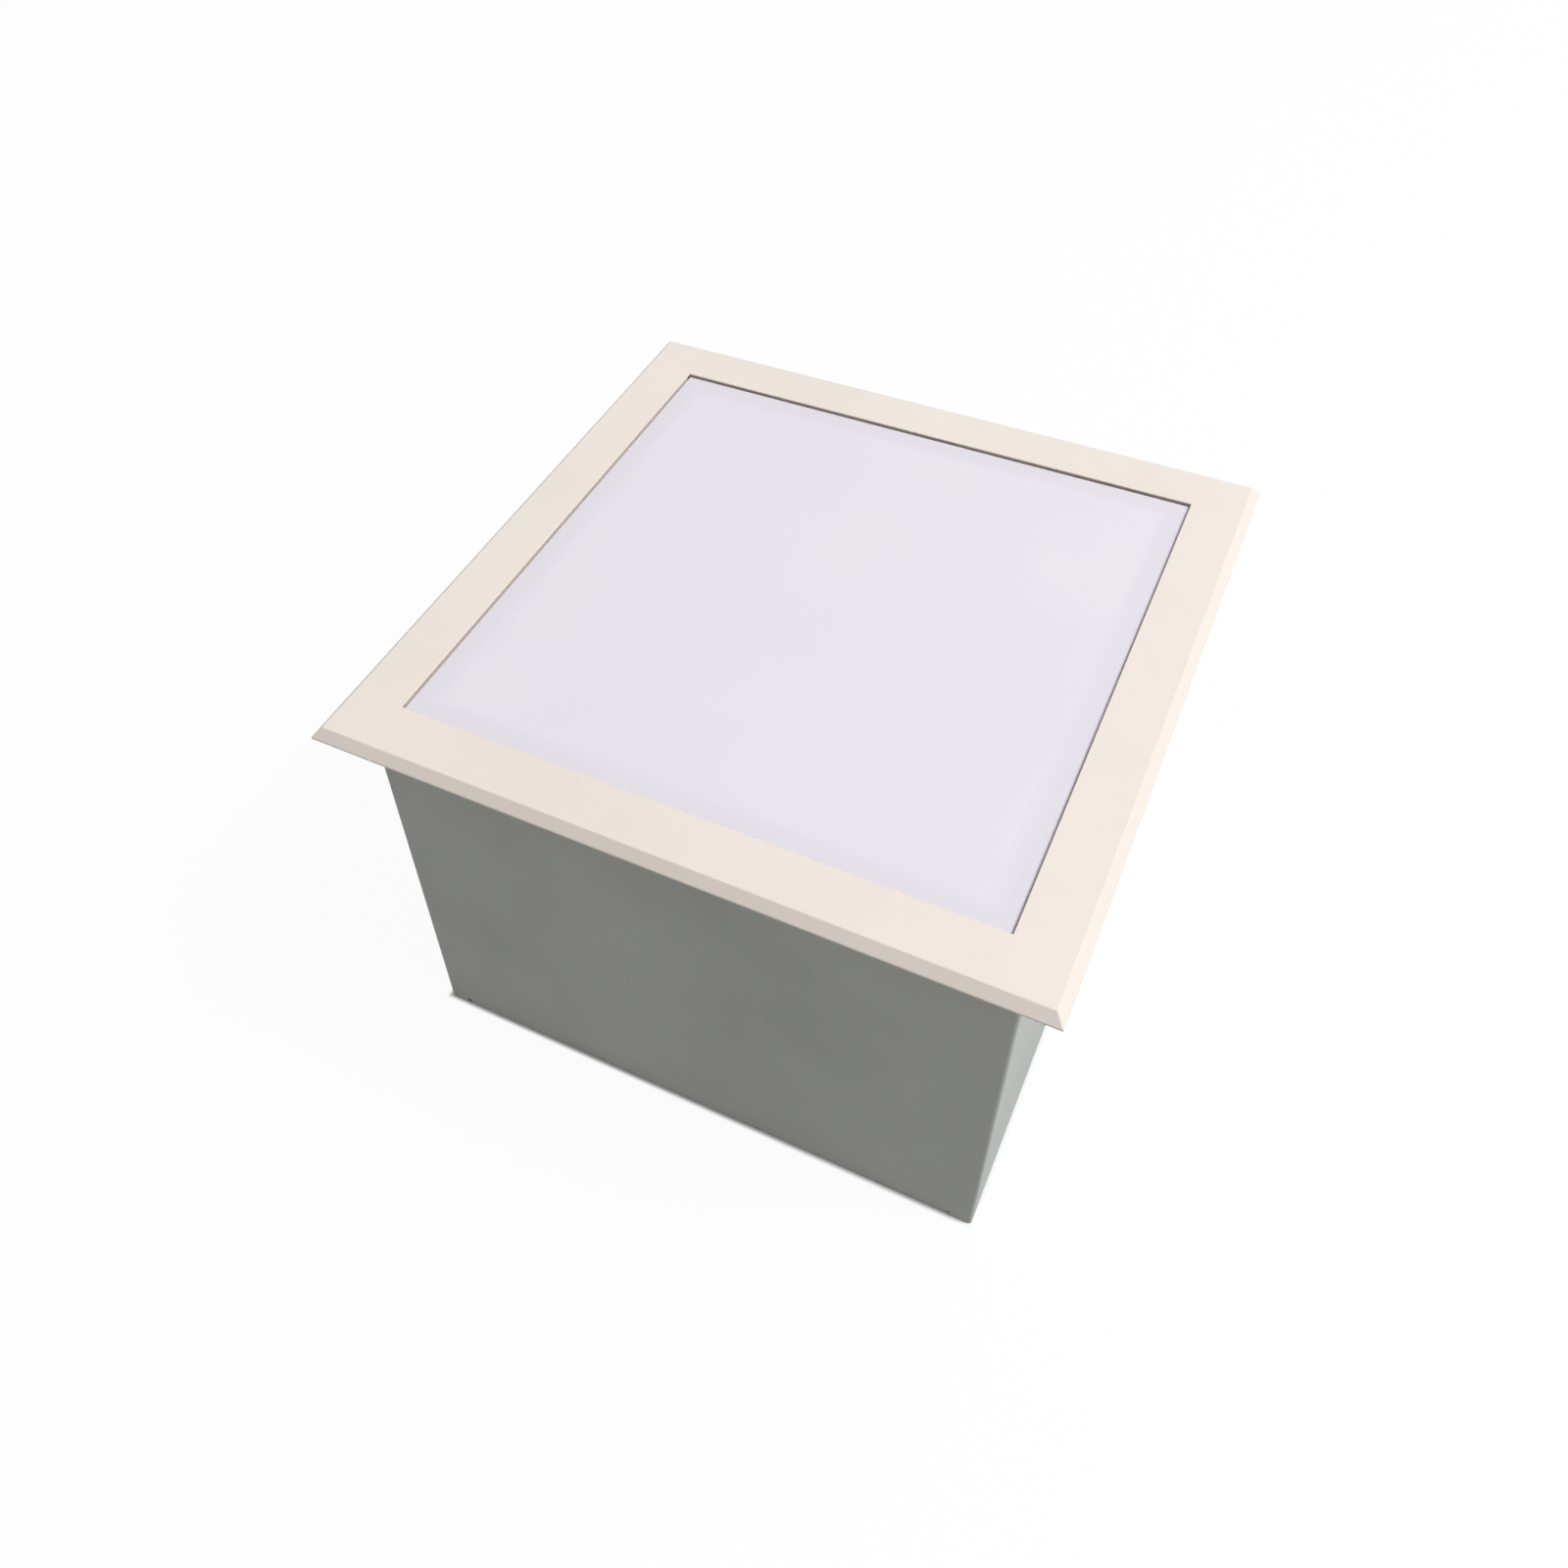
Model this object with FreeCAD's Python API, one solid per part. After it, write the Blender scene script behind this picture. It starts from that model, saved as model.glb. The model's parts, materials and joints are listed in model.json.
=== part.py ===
import FreeCAD, Part
import math
import os
from FreeCAD import Vector

# Ceiling air outlet with a pleated filter, lying on its back with the outlet face up.
# The origin is the middle of the resting plane, +Z points out of the outlet face,
# and the inlet collar points along +Y. All sizes are in millimetres.

# Overall
FACE_SIZE = 600.0            # outer size of the square face frame
OVERALL_HEIGHT = 408.0       # resting plane to the face

# Casing of folded sheet steel
FACE_OVERHANG = 32.0         # face frame beyond the box on each side
SHEET = 1.2                  # wall, back plate and collar sheet
BEND = 2.0                   # inside radius of every fold in the casing
BACK_FLANGE = 22.0           # inward flanges that carry the back plate
MOUTH_SETBACK = 12.0         # edge of the flanges under the face frame to its outside
CORNER_LEG = 20.0            # unfolded length at each bottom corner
RELIEF_WIDTH = 3.0           # notch between a corner leg and a flange
RELIEF_HEIGHT = 7.0

# Threaded nuts in the back plate for the hanging rods
HANGER_INSET = 48.0          # nut's axis to the side of the box
HANGER_THREAD_RADIUS = 3.4
HANGER_SHANK_RADIUS = 5.5
HANGER_BODY_RADIUS = 7.5
HANGER_HEIGHT = 12.0

# Inlet collar on the rear wall
COLLAR_MARGIN = 15.0         # half the seat's height less the spigot's radius
COLLAR_LENGTH = 168.0
COLLAR_FLANGE = 12.0
COLLAR_FOOT = 4.0            # flange's edge above the resting plane
BEAD_HEIGHT = 3.0
BEAD_OFFSET = 123.0          # crest of the bead beyond the rear wall
RIVET_RADIUS = 2.0
RIVET_HEAD_RADIUS = 4.0
RIVET_HEAD = 1.4
RIVET_TAIL_RADIUS = 2.8
RIVET_TAIL = 1.6
COLLAR_RIVETS = 8

# Damper in the collar
DAMPER_OFFSET = 66.0         # shaft axis beyond the rear wall
BLADE_CLEARANCE = 1.8
BLADE_SHEET = 1.5
SHAFT_RADIUS = 5.0
SHAFT_FLAT = 1.0             # depth of the milled flat that seats the blade
BUSH_SIDES = 16
BUSH_RADIUS = 8.0
BUSH_FLANGE_RADIUS = 11.0
BUSH_FLANGE = 2.0
SHAFT_PLAY = 0.05
SHAFT_STUB = 4.0             # shaft end beyond the right bush
BLADE_SCREW_RADIUS = 2.5
BLADE_SCREW_HEAD_RADIUS = 4.6
BLADE_SCREW_HEAD = 2.6
BLADE_SCREW_SPACING = 75.0
QUADRANT_SHEET = 2.0
QUADRANT_STAND_OFF = 10.0    # collar side to the quadrant's inner face
QUADRANT_RADIUS = 49.0
QUADRANT_HUB_RADIUS = 15.0
QUADRANT_BAND = 22.0         # width of the strap that carries the quadrant
QUADRANT_FOOT = 14.0
QUADRANT_HOLE_PLAY = 0.6
QUADRANT_REACH = 40.0        # shaft axis to the fold on the casing side
QUADRANT_RIVET_SPACING = 11.0
CREST_GAP = 0.4              # rivet tail to the crown of the collar's curved wall
SLOT_RADIUS = 40.0
SLOT_OVERRUN = 3.0           # degrees past each end of the quarter turn
LEVER_SHEET = 3.0
LEVER_WIDTH = 18.0
LEVER_LENGTH = 70.0
LEVER_TIP = 18.0             # bent grip beyond the flat part
LEVER_TIP_ANGLE = 40.0
LEVER_GAP = 0.3
LEVER_SQUARE = 7.0
LEVER_BEND = 4.0
SHAFT_THREAD_RADIUS = 4.0
LOCK_RADIUS = 3.0
LOCK_PLAY = 0.3
LOCK_HEAD_RADIUS = 7.0
LOCK_HEAD = 2.5
LOCK_NUT_RADIUS = 5.5
LOCK_NUT = 5.0
WING_SPAN = 26.0
WING_HEIGHT = 11.0
WING_SHEET = 2.4
WING_ROOT = 4.0              # bolt axis to the wing's inner edge
WING_FOOT = 1.0              # nut's base to the wing
WING_TIP = 3.6

# Flats that stand for the circle of a small fastener
FASTENER_SIDES = 6

# Common hexagon nut, M8
M8_RADIUS = 4.0
M8_ACROSS_FLATS = 13.0
M8_NUT = 6.5

# Filter and its seat
FILTER_GAP = 26.0            # filter's side to the outside of the box
FILTER_DEPTH = 80.0
OUTLET_GAP = 20.0            # top of the filter to the screen
FILTER_WALL = 1.5            # aluminium channel
FILTER_CHANNEL = 15.0        # width of the channel's legs
GASKET = 6.0
GASKET_WIDTH = 12.0
SEAT_SHEET = 1.5
SEAT_OVERLAP = 20.0          # filter's side to the clear opening in the seat
SEAT_LIP = 12.0
SEAT_WELD_FLANGE = 14.0
PACK_MARGIN = 7.0            # potting between the channel's web and the pack
PACK_DEPTH = 60.0
PLEATS = 48
MEDIA = 0.6
SEPARATORS = 12
SEPARATOR_WIDTH = 1.6
SEPARATOR_HEIGHT = 1.0
GUARD_WIRE = 2.0
GUARD_WIRES = 12
GUARD_INSET = 4.0            # wire ends to the channel's web

# Clamps that press the filter on its seat, one in the middle of each side
CLAMP_SHEET = 2.5
CLAMP_WIDTH = 28.0
CLAMP_REACH = 10.0           # overlap on the filter's frame
CLAMP_LEG_GAP = 3.6          # clamp leg to the casing wall
STUD_CLEARANCE = 6.0         # stud's side to the filter's side
STUD_TAIL = 2.0              # thread beyond the nut
WASHER = 1.6
WASHER_RADIUS = 8.0

# Brackets that hold the face frame, two on each side
BRACKET_SHEET = 1.5
BRACKET_WIDTH = 30.0
BRACKET_LEG = 28.0
BRACKET_INSET = 80.0         # bracket's middle to the end of the opening's side
SCREW_RADIUS = 2.0
SCREW_HEAD_RADIUS = 3.6
SCREW_HEAD = 2.2
SCREW_REST = 1.6             # thread beyond the nut
SCREW_EDGE = 5.0             # screw axis to the ledge's inner edge
BRACKET_NUT_RADIUS = 4.0
BRACKET_NUT = 3.0

# Face frame of extruded aluminium
FACE_WALL = 1.6
FACE_BORDER = 50.0           # width of the frame seen from the front
BEVEL_WIDTH = 7.3
BEVEL_HEIGHT = 8.2
RIM_HEIGHT = 1.5             # upright rim below the bevel
RIM_ROUND = 0.6
SKIRT_PLAY = 0.4             # skirt to the inside of the casing
SKIRT_HEIGHT = 14.0
SKIRT_NOTCH = 9.0            # skirt cut back at the mitres
LEDGE_WIDTH = 14.0
KEY_LEG = 55.0
KEY_HEIGHT = 8.0
KEY_PLAY = 0.2

# Membrane screen
SCREEN_RECESS = 3.2          # membrane below the face
SCREEN_GAP = 1.6             # between the screen and the face frame
SCREEN_RAIL = 20.0           # width of the screen's rails
SCREEN_RAIL_HEIGHT = 20.0
SCREEN_WALL = 1.2
MEMBRANE = 0.4
MEMBRANE_ROUND = 1.0
GROOVE_SETBACK = 4.6         # rail edge to the groove
GROOVE = 3.0
GROOVE_DEPTH = 2.6
SCREEN_KEY_LEG = 42.0
LEDGE_SEAL = 3.0             # height of the foam below the screen
LEDGE_SEAL_WIDTH = 3.4
SIDE_SEAL = 3.6              # height of the strip that grips the screen

# Worked out from the sizes above
HALF_FACE = FACE_SIZE / 2
HALF_OPENING = HALF_FACE - FACE_BORDER
HALF_CASING = HALF_FACE - FACE_OVERHANG
CASING_SIZE = 2 * HALF_CASING
MOUTH_FLANGE = FACE_OVERHANG - MOUTH_SETBACK
CASING_INNER = HALF_CASING - SHEET
FACE_UNDERSIDE = OVERALL_HEIGHT - FACE_WALL
OUTER_BEND = BEND + SHEET
HALF_SCREEN = HALF_OPENING - SCREEN_GAP - MEMBRANE
SCREEN_TOP = OVERALL_HEIGHT - SCREEN_RECESS - MEMBRANE
SCREEN_BOTTOM = SCREEN_TOP - SCREEN_RAIL_HEIGHT
LEDGE_TOP = SCREEN_BOTTOM - MEMBRANE - LEDGE_SEAL
LEDGE_BOTTOM = LEDGE_TOP - FACE_WALL
LEDGE_INNER = HALF_OPENING - LEDGE_WIDTH
SCREW_LINE = LEDGE_INNER + SCREW_EDGE
SKIRT_OUTER = CASING_INNER - SKIRT_PLAY
FILTER_TOP = SCREEN_BOTTOM - MEMBRANE - OUTLET_GAP
FILTER_BOTTOM = FILTER_TOP - FILTER_DEPTH
FILTER_MIDDLE = FILTER_BOTTOM + FILTER_DEPTH / 2
HALF_FILTER = HALF_CASING - FILTER_GAP
SEAT_HEIGHT = FILTER_BOTTOM - GASKET
HALF_SEAT = HALF_FILTER - SEAT_OVERLAP
HALF_PACK = HALF_FILTER - FILTER_WALL - PACK_MARGIN
STUD_LINE = HALF_FILTER + STUD_CLEARANCE + M8_RADIUS
CLAMP_TOP = FILTER_TOP + CLAMP_SHEET
REAR_FACE = HALF_CASING
COLLAR_RADIUS = SEAT_HEIGHT / 2 - COLLAR_MARGIN
COLLAR_HEIGHT = COLLAR_FOOT + COLLAR_FLANGE + COLLAR_RADIUS
COLLAR_BORE = COLLAR_RADIUS - SHEET
RIVET_CIRCLE = COLLAR_RADIUS + COLLAR_FLANGE / 2
SHAFT_Y = REAR_FACE + DAMPER_OFFSET
BLADE_RADIUS = COLLAR_BORE - BLADE_CLEARANCE
BLADE_FACE = SHAFT_Y + SHAFT_RADIUS - SHAFT_FLAT
QUADRANT_X = -COLLAR_RADIUS - QUADRANT_STAND_OFF
LEVER_X = QUADRANT_X - QUADRANT_SHEET - LEVER_GAP
LEVER_OUTER_X = LEVER_X - LEVER_SHEET

SIDE_ANGLES = {"front": 0.0, "right": 90.0, "rear": 180.0, "left": 270.0}
X_AXIS = Vector(1, 0, 0)
Y_AXIS = Vector(0, 1, 0)
Z_AXIS = Vector(0, 0, 1)
ORIGIN = Vector(0, 0, 0)


# Outlines

def unit(a, b):
    """Direction from point a to point b and the distance between them."""
    length = math.hypot(b[0] - a[0], b[1] - a[1])
    return (b[0] - a[0]) / length, (b[1] - a[1]) / length, length


def offset_path(points, distance):
    """An open path moved to its left by a distance, with sharp corners."""
    moved = []
    for i, (x, y) in enumerate(points):
        before = unit(points[i - 1], points[i]) if i > 0 else None
        after = unit(points[i], points[i + 1]) if i < len(points) - 1 else None
        before = before or after
        after = after or before
        nx, ny = -(before[1] + after[1]), before[0] + after[0]
        size = math.hypot(nx, ny)
        nx, ny = nx / size, ny / size
        reach = distance / (nx * -before[1] + ny * before[0])
        moved.append((x + nx * reach, y + ny * reach))
    return moved


def rounded_edges(points, radii):
    """Lines through the points, with an arc of the given radius at each inner corner."""
    edges = []

    def add_line(a, b):
        if (b - a).Length > 1e-6:
            edges.append(Part.LineSegment(a, b).toShape())

    start = Vector(points[0][0], points[0][1], 0)
    for i in range(1, len(points) - 1):
        ux, uy, _ = unit(points[i], points[i - 1])
        wx, wy, _ = unit(points[i], points[i + 1])
        corner = Vector(points[i][0], points[i][1], 0)
        half = math.acos(max(-1.0, min(1.0, ux * wx + uy * wy))) / 2
        cut = radii[i] / math.tan(half)
        into = corner + Vector(ux, uy, 0) * cut
        out = corner + Vector(wx, wy, 0) * cut
        bisector = Vector(ux + wx, uy + wy, 0).normalize()
        middle = corner + bisector * (radii[i] / math.sin(half) - radii[i])
        add_line(start, into)
        edges.append(Part.Arc(into, middle, out).toShape())
        start = out
    add_line(start, Vector(points[-1][0], points[-1][1], 0))
    return edges


def folded_strip(path, thickness, bend):
    """Cross-section of a sheet folded along a path, with the metal on the path's left."""
    far = offset_path(path, thickness)
    near_radii, far_radii = [0.0], [0.0]
    for i in range(1, len(path) - 1):
        ux, uy, _ = unit(path[i - 1], path[i])
        wx, wy, _ = unit(path[i], path[i + 1])
        turns_left = ux * wy - uy * wx > 0
        near_radii.append(bend + thickness if turns_left else bend)
        far_radii.append(bend if turns_left else bend + thickness)
    near_radii.append(0.0)
    far_radii.append(0.0)
    edges = rounded_edges(path, near_radii) + rounded_edges(far, far_radii)
    for a, b in ((path[0], far[0]), (path[-1], far[-1])):
        edges.append(Part.LineSegment(Vector(a[0], a[1], 0), Vector(b[0], b[1], 0)).toShape())
    return Part.Face(Part.Wire(Part.__sortEdges__(edges)))


def sharp_strip(path, thickness):
    """The same cross-section with tight folds, for small and hidden pieces."""
    return Part.Face(polygon(path + offset_path(path, thickness)[::-1]))


def polygon(points):
    """A closed wire through plane points."""
    corners = [Vector(x, y, 0) for x, y in points]
    return Part.makePolygon(corners + corners[:1])


# Placing

def laid(shape, u, v, origin):
    """A shape drawn flat, moved so that its first axis runs along u and its second along v."""
    w = u.cross(v)
    matrix = FreeCAD.Matrix(u.x, v.x, w.x, origin.x, u.y, v.y, w.y, origin.y,
                            u.z, v.z, w.z, origin.z, 0, 0, 0, 1)
    shape.Placement = FreeCAD.Placement(matrix)
    return shape


def front_bar(section, length):
    """A bar along X whose section is drawn as distance from the middle and height."""
    bar = section.extrude(Vector(0, 0, length))
    return laid(bar, -Y_AXIS, Z_AXIS, X_AXIS * (length / 2))


def to_side(shape, side):
    """A shape drawn for the front side, turned to the named side."""
    return shape.rotated(ORIGIN, Z_AXIS, SIDE_ANGLES[side])


def around(shape):
    """Copies of a front side shape on all four sides."""
    return [to_side(shape, side) for side in SIDE_ANGLES]


def mitred(bar):
    """A front side bar with its ends cut at 45 degrees."""
    reach = FACE_SIZE
    wedge = Part.Face(polygon([(0, 0), (-reach, -reach), (reach, -reach)]))
    return bar.common(wedge.extrude(Vector(0, 0, OVERALL_HEIGHT)))


def square_plate(half, bottom, top, corner=0.0):
    """A square slab about the vertical axis, with its upright edges rounded if asked."""
    slab = Part.makeBox(2 * half, 2 * half, top - bottom, Vector(-half, -half, bottom))
    if corner:
        uprights = [e for e in slab.Edges if abs(e.tangentAt(e.FirstParameter).z) > 0.99]
        slab = slab.makeFillet(corner, uprights)
    return slab


def square_ring(outer, inner, bottom, top):
    """A square ring about the vertical axis, by its half widths."""
    return square_plate(outer, bottom, top).cut(square_plate(inner, bottom, top))


def cylinder(radius, start, end):
    """A round bar between two points."""
    direction = end - start
    return Part.makeCylinder(radius, direction.Length, start, direction)


def prism(sides, radius, start, end):
    """A bar with flat sides between two points, by the radius to its corners."""
    turns = [2 * math.pi * i / sides for i in range(sides)]
    corners = [(radius * math.cos(turn), radius * math.sin(turn)) for turn in turns]
    bar = Part.Face(polygon(corners)).extrude(Z_AXIS * (end - start).Length)
    bar.Placement = FreeCAD.Placement(start, FreeCAD.Rotation(Z_AXIS, end - start))
    return bar


def small_round(radius, start, end):
    """The round of a small fastener or of its hole."""
    return prism(FASTENER_SIDES, radius, start, end)


def hexagon_nut(across_flats, height, bore, base, direction):
    """A plain hexagon nut on a base point, standing along a direction."""
    top = base + direction * height
    return prism(6, across_flats / math.sqrt(3), base, top).cut(small_round(bore, base, top))


def group(shapes):
    """Separate like pieces that share one node."""
    return Part.makeCompound(shapes)


# Casing

def casing_wrap():
    """Four walls folded from one sheet, with flanges at the back and at the mouth."""
    bend_line = FACE_UNDERSIDE - OUTER_BEND
    wall = square_plate(HALF_CASING, 0, bend_line, OUTER_BEND)
    wall = wall.cut(square_plate(CASING_INNER, 0, bend_line, BEND))
    open_length = CASING_SIZE - 2 * CORNER_LEG
    slots = Part.makeBox(open_length, 2 * OUTER_BEND, RELIEF_HEIGHT,
                         Vector(-open_length / 2, -HALF_CASING - SHEET, 0))
    back_path = [(HALF_CASING, RELIEF_HEIGHT), (HALF_CASING, SHEET),
                 (HALF_CASING - BACK_FLANGE, SHEET)]
    back_flange = front_bar(folded_strip(back_path[::-1], SHEET, BEND),
                            open_length - 2 * RELIEF_WIDTH)
    back_flange = mitred(back_flange)
    mouth_path = [(CASING_INNER, bend_line), (CASING_INNER, FACE_UNDERSIDE),
                  (HALF_CASING + MOUTH_FLANGE, FACE_UNDERSIDE)]
    mouth_flange = front_bar(folded_strip(mouth_path[::-1], SHEET, BEND),
                             CASING_SIZE - 2 * (OUTER_BEND + SHEET))
    wrap = wall.cut(around(slots)).fuse(around(back_flange) + around(mouth_flange))
    wrap = wrap.cut([collar_rod(COLLAR_BORE)] + collar_rivet_holes())
    return wrap.removeSplitter()


def back_plate():
    """Flat plate under the walls' inward flanges."""
    plate = square_plate(HALF_CASING - OUTER_BEND, 0, SHEET)
    holes = [small_round(HANGER_SHANK_RADIUS, point, point + Z_AXIS * SHEET)
             for point in hanger_points()]
    return plate.cut(holes)


def hanger_points():
    half = HALF_CASING - HANGER_INSET
    return [Vector(x, y, 0) for x in (-half, half) for y in (-half, half)]


def hanger_nuts():
    """Closed nuts pressed in from inside, flush with the back."""
    nuts = []
    for point in hanger_points():
        shank = small_round(HANGER_SHANK_RADIUS, point, point + Z_AXIS * SHEET)
        body = small_round(HANGER_BODY_RADIUS, point + Z_AXIS * SHEET,
                           point + Z_AXIS * HANGER_HEIGHT)
        bore = cylinder(HANGER_THREAD_RADIUS, point, point + Z_AXIS * (HANGER_HEIGHT - SHEET))
        nuts.append(shank.fuse(body).cut(bore).removeSplitter())
    return group(nuts)


# Inlet collar

def collar_rod(radius, start=None, end=None):
    """A rod on the collar's axis."""
    start = REAR_FACE - 2 * OUTER_BEND if start is None else start
    end = REAR_FACE + SHEET if end is None else end
    return cylinder(radius, Vector(0, start, COLLAR_HEIGHT), Vector(0, end, COLLAR_HEIGHT))


def collar_rivet_points():
    points = []
    for i in range(COLLAR_RIVETS):
        angle = 2 * math.pi * (i + 0.5) / COLLAR_RIVETS
        points.append(Vector(RIVET_CIRCLE * math.cos(angle), REAR_FACE,
                             COLLAR_HEIGHT + RIVET_CIRCLE * math.sin(angle)))
    return points


def collar_rivet_holes():
    return [small_round(RIVET_RADIUS, point - Y_AXIS * SHEET, point + Y_AXIS * SHEET)
            for point in collar_rivet_points()]


def rivet(point, outward, grip):
    """A blind rivet whose head lies on point, through a grip behind it."""
    under = point - outward * grip
    head = small_round(RIVET_HEAD_RADIUS, point, point + outward * RIVET_HEAD)
    shank = small_round(RIVET_RADIUS, under, point)
    tail = small_round(RIVET_TAIL_RADIUS, under - outward * RIVET_TAIL, under)
    return head.fuse([shank, tail]).removeSplitter()


def inlet_collar():
    """Spigot with a fixing flange and a raised bead that stops the duct."""
    bead = REAR_FACE + BEAD_OFFSET
    inner = [(COLLAR_BORE, REAR_FACE + COLLAR_LENGTH), (COLLAR_BORE, bead + BEAD_HEIGHT),
             (COLLAR_BORE + BEAD_HEIGHT, bead), (COLLAR_BORE, bead - BEAD_HEIGHT),
             (COLLAR_BORE, REAR_FACE), (COLLAR_RADIUS + COLLAR_FLANGE, REAR_FACE)]
    section = sharp_strip(inner, SHEET)
    section.translate(Vector(0, 0, COLLAR_HEIGHT))
    collar = section.revolve(Vector(0, 0, COLLAR_HEIGHT), Y_AXIS, 360)
    bush_hole = bush_round(BUSH_RADIUS, -COLLAR_RADIUS - SHEET, COLLAR_RADIUS + SHEET)
    foot_holes = [small_round(RIVET_RADIUS, point + X_AXIS * 4 * SHEET, point)
                  for point in quadrant_rivet_points()]
    return collar.cut([bush_hole] + foot_holes + collar_rivet_holes())


def collar_rivets():
    return group([rivet(point + Y_AXIS * SHEET, Y_AXIS, 2 * SHEET)
                  for point in collar_rivet_points()])


# Damper

def damper_point(x, along=0.0, up=0.0):
    """A point given from the shaft's axis."""
    return Vector(x, SHAFT_Y + along, COLLAR_HEIGHT + up)


def blade_screw_points():
    return [Vector(x, BLADE_FACE + BLADE_SHEET, COLLAR_HEIGHT)
            for x in (-BLADE_SCREW_SPACING, 0.0, BLADE_SCREW_SPACING)]


def blade_screw_holes():
    return [small_round(BLADE_SCREW_RADIUS, point - Y_AXIS * (2 * SHAFT_RADIUS + BLADE_SHEET),
                        point) for point in blade_screw_points()]


def damper_blade():
    """Round blade, drawn shut across the collar."""
    disc = collar_rod(BLADE_RADIUS, BLADE_FACE, BLADE_FACE + BLADE_SHEET)
    return disc.cut(blade_screw_holes())


def damper_shaft():
    """Shaft with a flat for the blade, a square for the lever and a threaded end."""
    right_end = COLLAR_RADIUS + BUSH_FLANGE + SHAFT_STUB
    shaft = cylinder(SHAFT_RADIUS, damper_point(LEVER_X), damper_point(right_end))
    half = LEVER_SQUARE / 2
    square = Part.makeBox(LEVER_SHEET, LEVER_SQUARE, LEVER_SQUARE,
                          damper_point(LEVER_OUTER_X, -half, -half))
    thread = small_round(SHAFT_THREAD_RADIUS, damper_point(LEVER_OUTER_X),
                         damper_point(LEVER_OUTER_X - M8_NUT - STUD_TAIL))
    half = BLADE_RADIUS + BLADE_CLEARANCE / 4
    flat = Part.makeBox(2 * half, 2 * SHAFT_RADIUS, 2 * SHAFT_RADIUS,
                        Vector(-half, BLADE_FACE, COLLAR_HEIGHT - SHAFT_RADIUS))
    return shaft.cut([flat] + blade_screw_holes()).fuse([square, thread]).removeSplitter()


def blade_screws():
    screws = []
    shank_length = BLADE_SHEET + 2 * SHAFT_RADIUS - SHAFT_FLAT
    for point in blade_screw_points():
        head = small_round(BLADE_SCREW_HEAD_RADIUS, point, point + Y_AXIS * BLADE_SCREW_HEAD)
        shank = small_round(BLADE_SCREW_RADIUS, point - Y_AXIS * shank_length, point)
        screws.append(head.fuse(shank).removeSplitter())
    return group(screws)


def bush_round(radius, left, right):
    """The outside of a bush, or its hole, with the flats that keep it from turning."""
    return prism(BUSH_SIDES, radius, damper_point(left), damper_point(right))


def shaft_bush(sign, reach):
    """Flanged plastic bush in the collar's wall, on the side that sign points to."""
    inner = math.sqrt(COLLAR_BORE ** 2 - BUSH_RADIUS ** 2)
    body = bush_round(BUSH_RADIUS, inner, COLLAR_RADIUS + reach)
    flange = bush_round(BUSH_FLANGE_RADIUS, COLLAR_RADIUS, COLLAR_RADIUS + BUSH_FLANGE)
    bore = cylinder(SHAFT_RADIUS + SHAFT_PLAY, damper_point(inner),
                    damper_point(COLLAR_RADIUS + reach))
    bush = body.fuse(flange).cut(bore).removeSplitter()
    return bush if sign > 0 else bush.rotated(damper_point(0), Z_AXIS, 180)


def quadrant_rivet_points():
    """Rivet places on the outer face of the quadrant's foot."""
    x = -COLLAR_RADIUS - QUADRANT_SHEET
    along = -QUADRANT_REACH - QUADRANT_SHEET - (QUADRANT_SHEET + QUADRANT_FOOT) / 2
    half = QUADRANT_RIVET_SPACING / 2
    return [damper_point(x, along, -half), damper_point(x, along, half)]


def damper_quadrant():
    """Slotted quarter plate on a strap whose foot is riveted to the collar."""
    fold = -QUADRANT_REACH - QUADRANT_SHEET
    path = [(fold - QUADRANT_FOOT, COLLAR_RADIUS), (fold, COLLAR_RADIUS),
            (fold, COLLAR_RADIUS + QUADRANT_STAND_OFF), (0, COLLAR_RADIUS + QUADRANT_STAND_OFF)]
    strap = folded_strip(path, QUADRANT_SHEET, BEND / 2).extrude(Vector(0, 0, QUADRANT_BAND))
    strap = laid(strap, Y_AXIS, -X_AXIS, damper_point(0, 0, -QUADRANT_BAND / 2))
    back, front = QUADRANT_X, QUADRANT_X - QUADRANT_SHEET
    disc = cylinder(QUADRANT_RADIUS, damper_point(front), damper_point(back))
    corner = QUADRANT_BAND / 2
    window = Part.makeBox(QUADRANT_SHEET, QUADRANT_RADIUS + corner, QUADRANT_RADIUS + corner,
                          damper_point(front, -corner, -corner))
    hub = cylinder(QUADRANT_HUB_RADIUS, damper_point(front), damper_point(back))
    plate = disc.common(window).fuse([hub, strap])
    hole = cylinder(SHAFT_RADIUS + QUADRANT_HOLE_PLAY, damper_point(front), damper_point(back))
    rivets = [small_round(RIVET_RADIUS, point + X_AXIS * QUADRANT_SHEET, point)
              for point in quadrant_rivet_points()]
    return plate.cut([hole, quadrant_slot(front)] + rivets).removeSplitter()


def quadrant_slot(front):
    """Arc slot that the lock bolt follows through a quarter turn."""
    width = LOCK_RADIUS + LOCK_PLAY
    inner = cylinder(SLOT_RADIUS - width, damper_point(front), damper_point(QUADRANT_X))
    ring = cylinder(SLOT_RADIUS + width, damper_point(front), damper_point(QUADRANT_X)).cut(inner)
    reach = 2 * SLOT_RADIUS
    overrun = math.radians(SLOT_OVERRUN)
    first = (-math.sin(overrun) * reach, math.cos(overrun) * reach)
    last = (math.cos(overrun) * reach, -math.sin(overrun) * reach)
    corners = [(0, 0), first, (reach, reach), last]
    wedge = Part.makePolygon([damper_point(front, y, z) for y, z in corners + corners[:1]])
    arc = ring.common(Part.Face(wedge).extrude(X_AXIS * QUADRANT_SHEET))
    ends = []
    for y, z in (first, last):
        along, up = y * SLOT_RADIUS / reach, z * SLOT_RADIUS / reach
        ends.append(cylinder(width, damper_point(front, along, up),
                             damper_point(QUADRANT_X, along, up)))
    return arc.fuse(ends)


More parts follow.
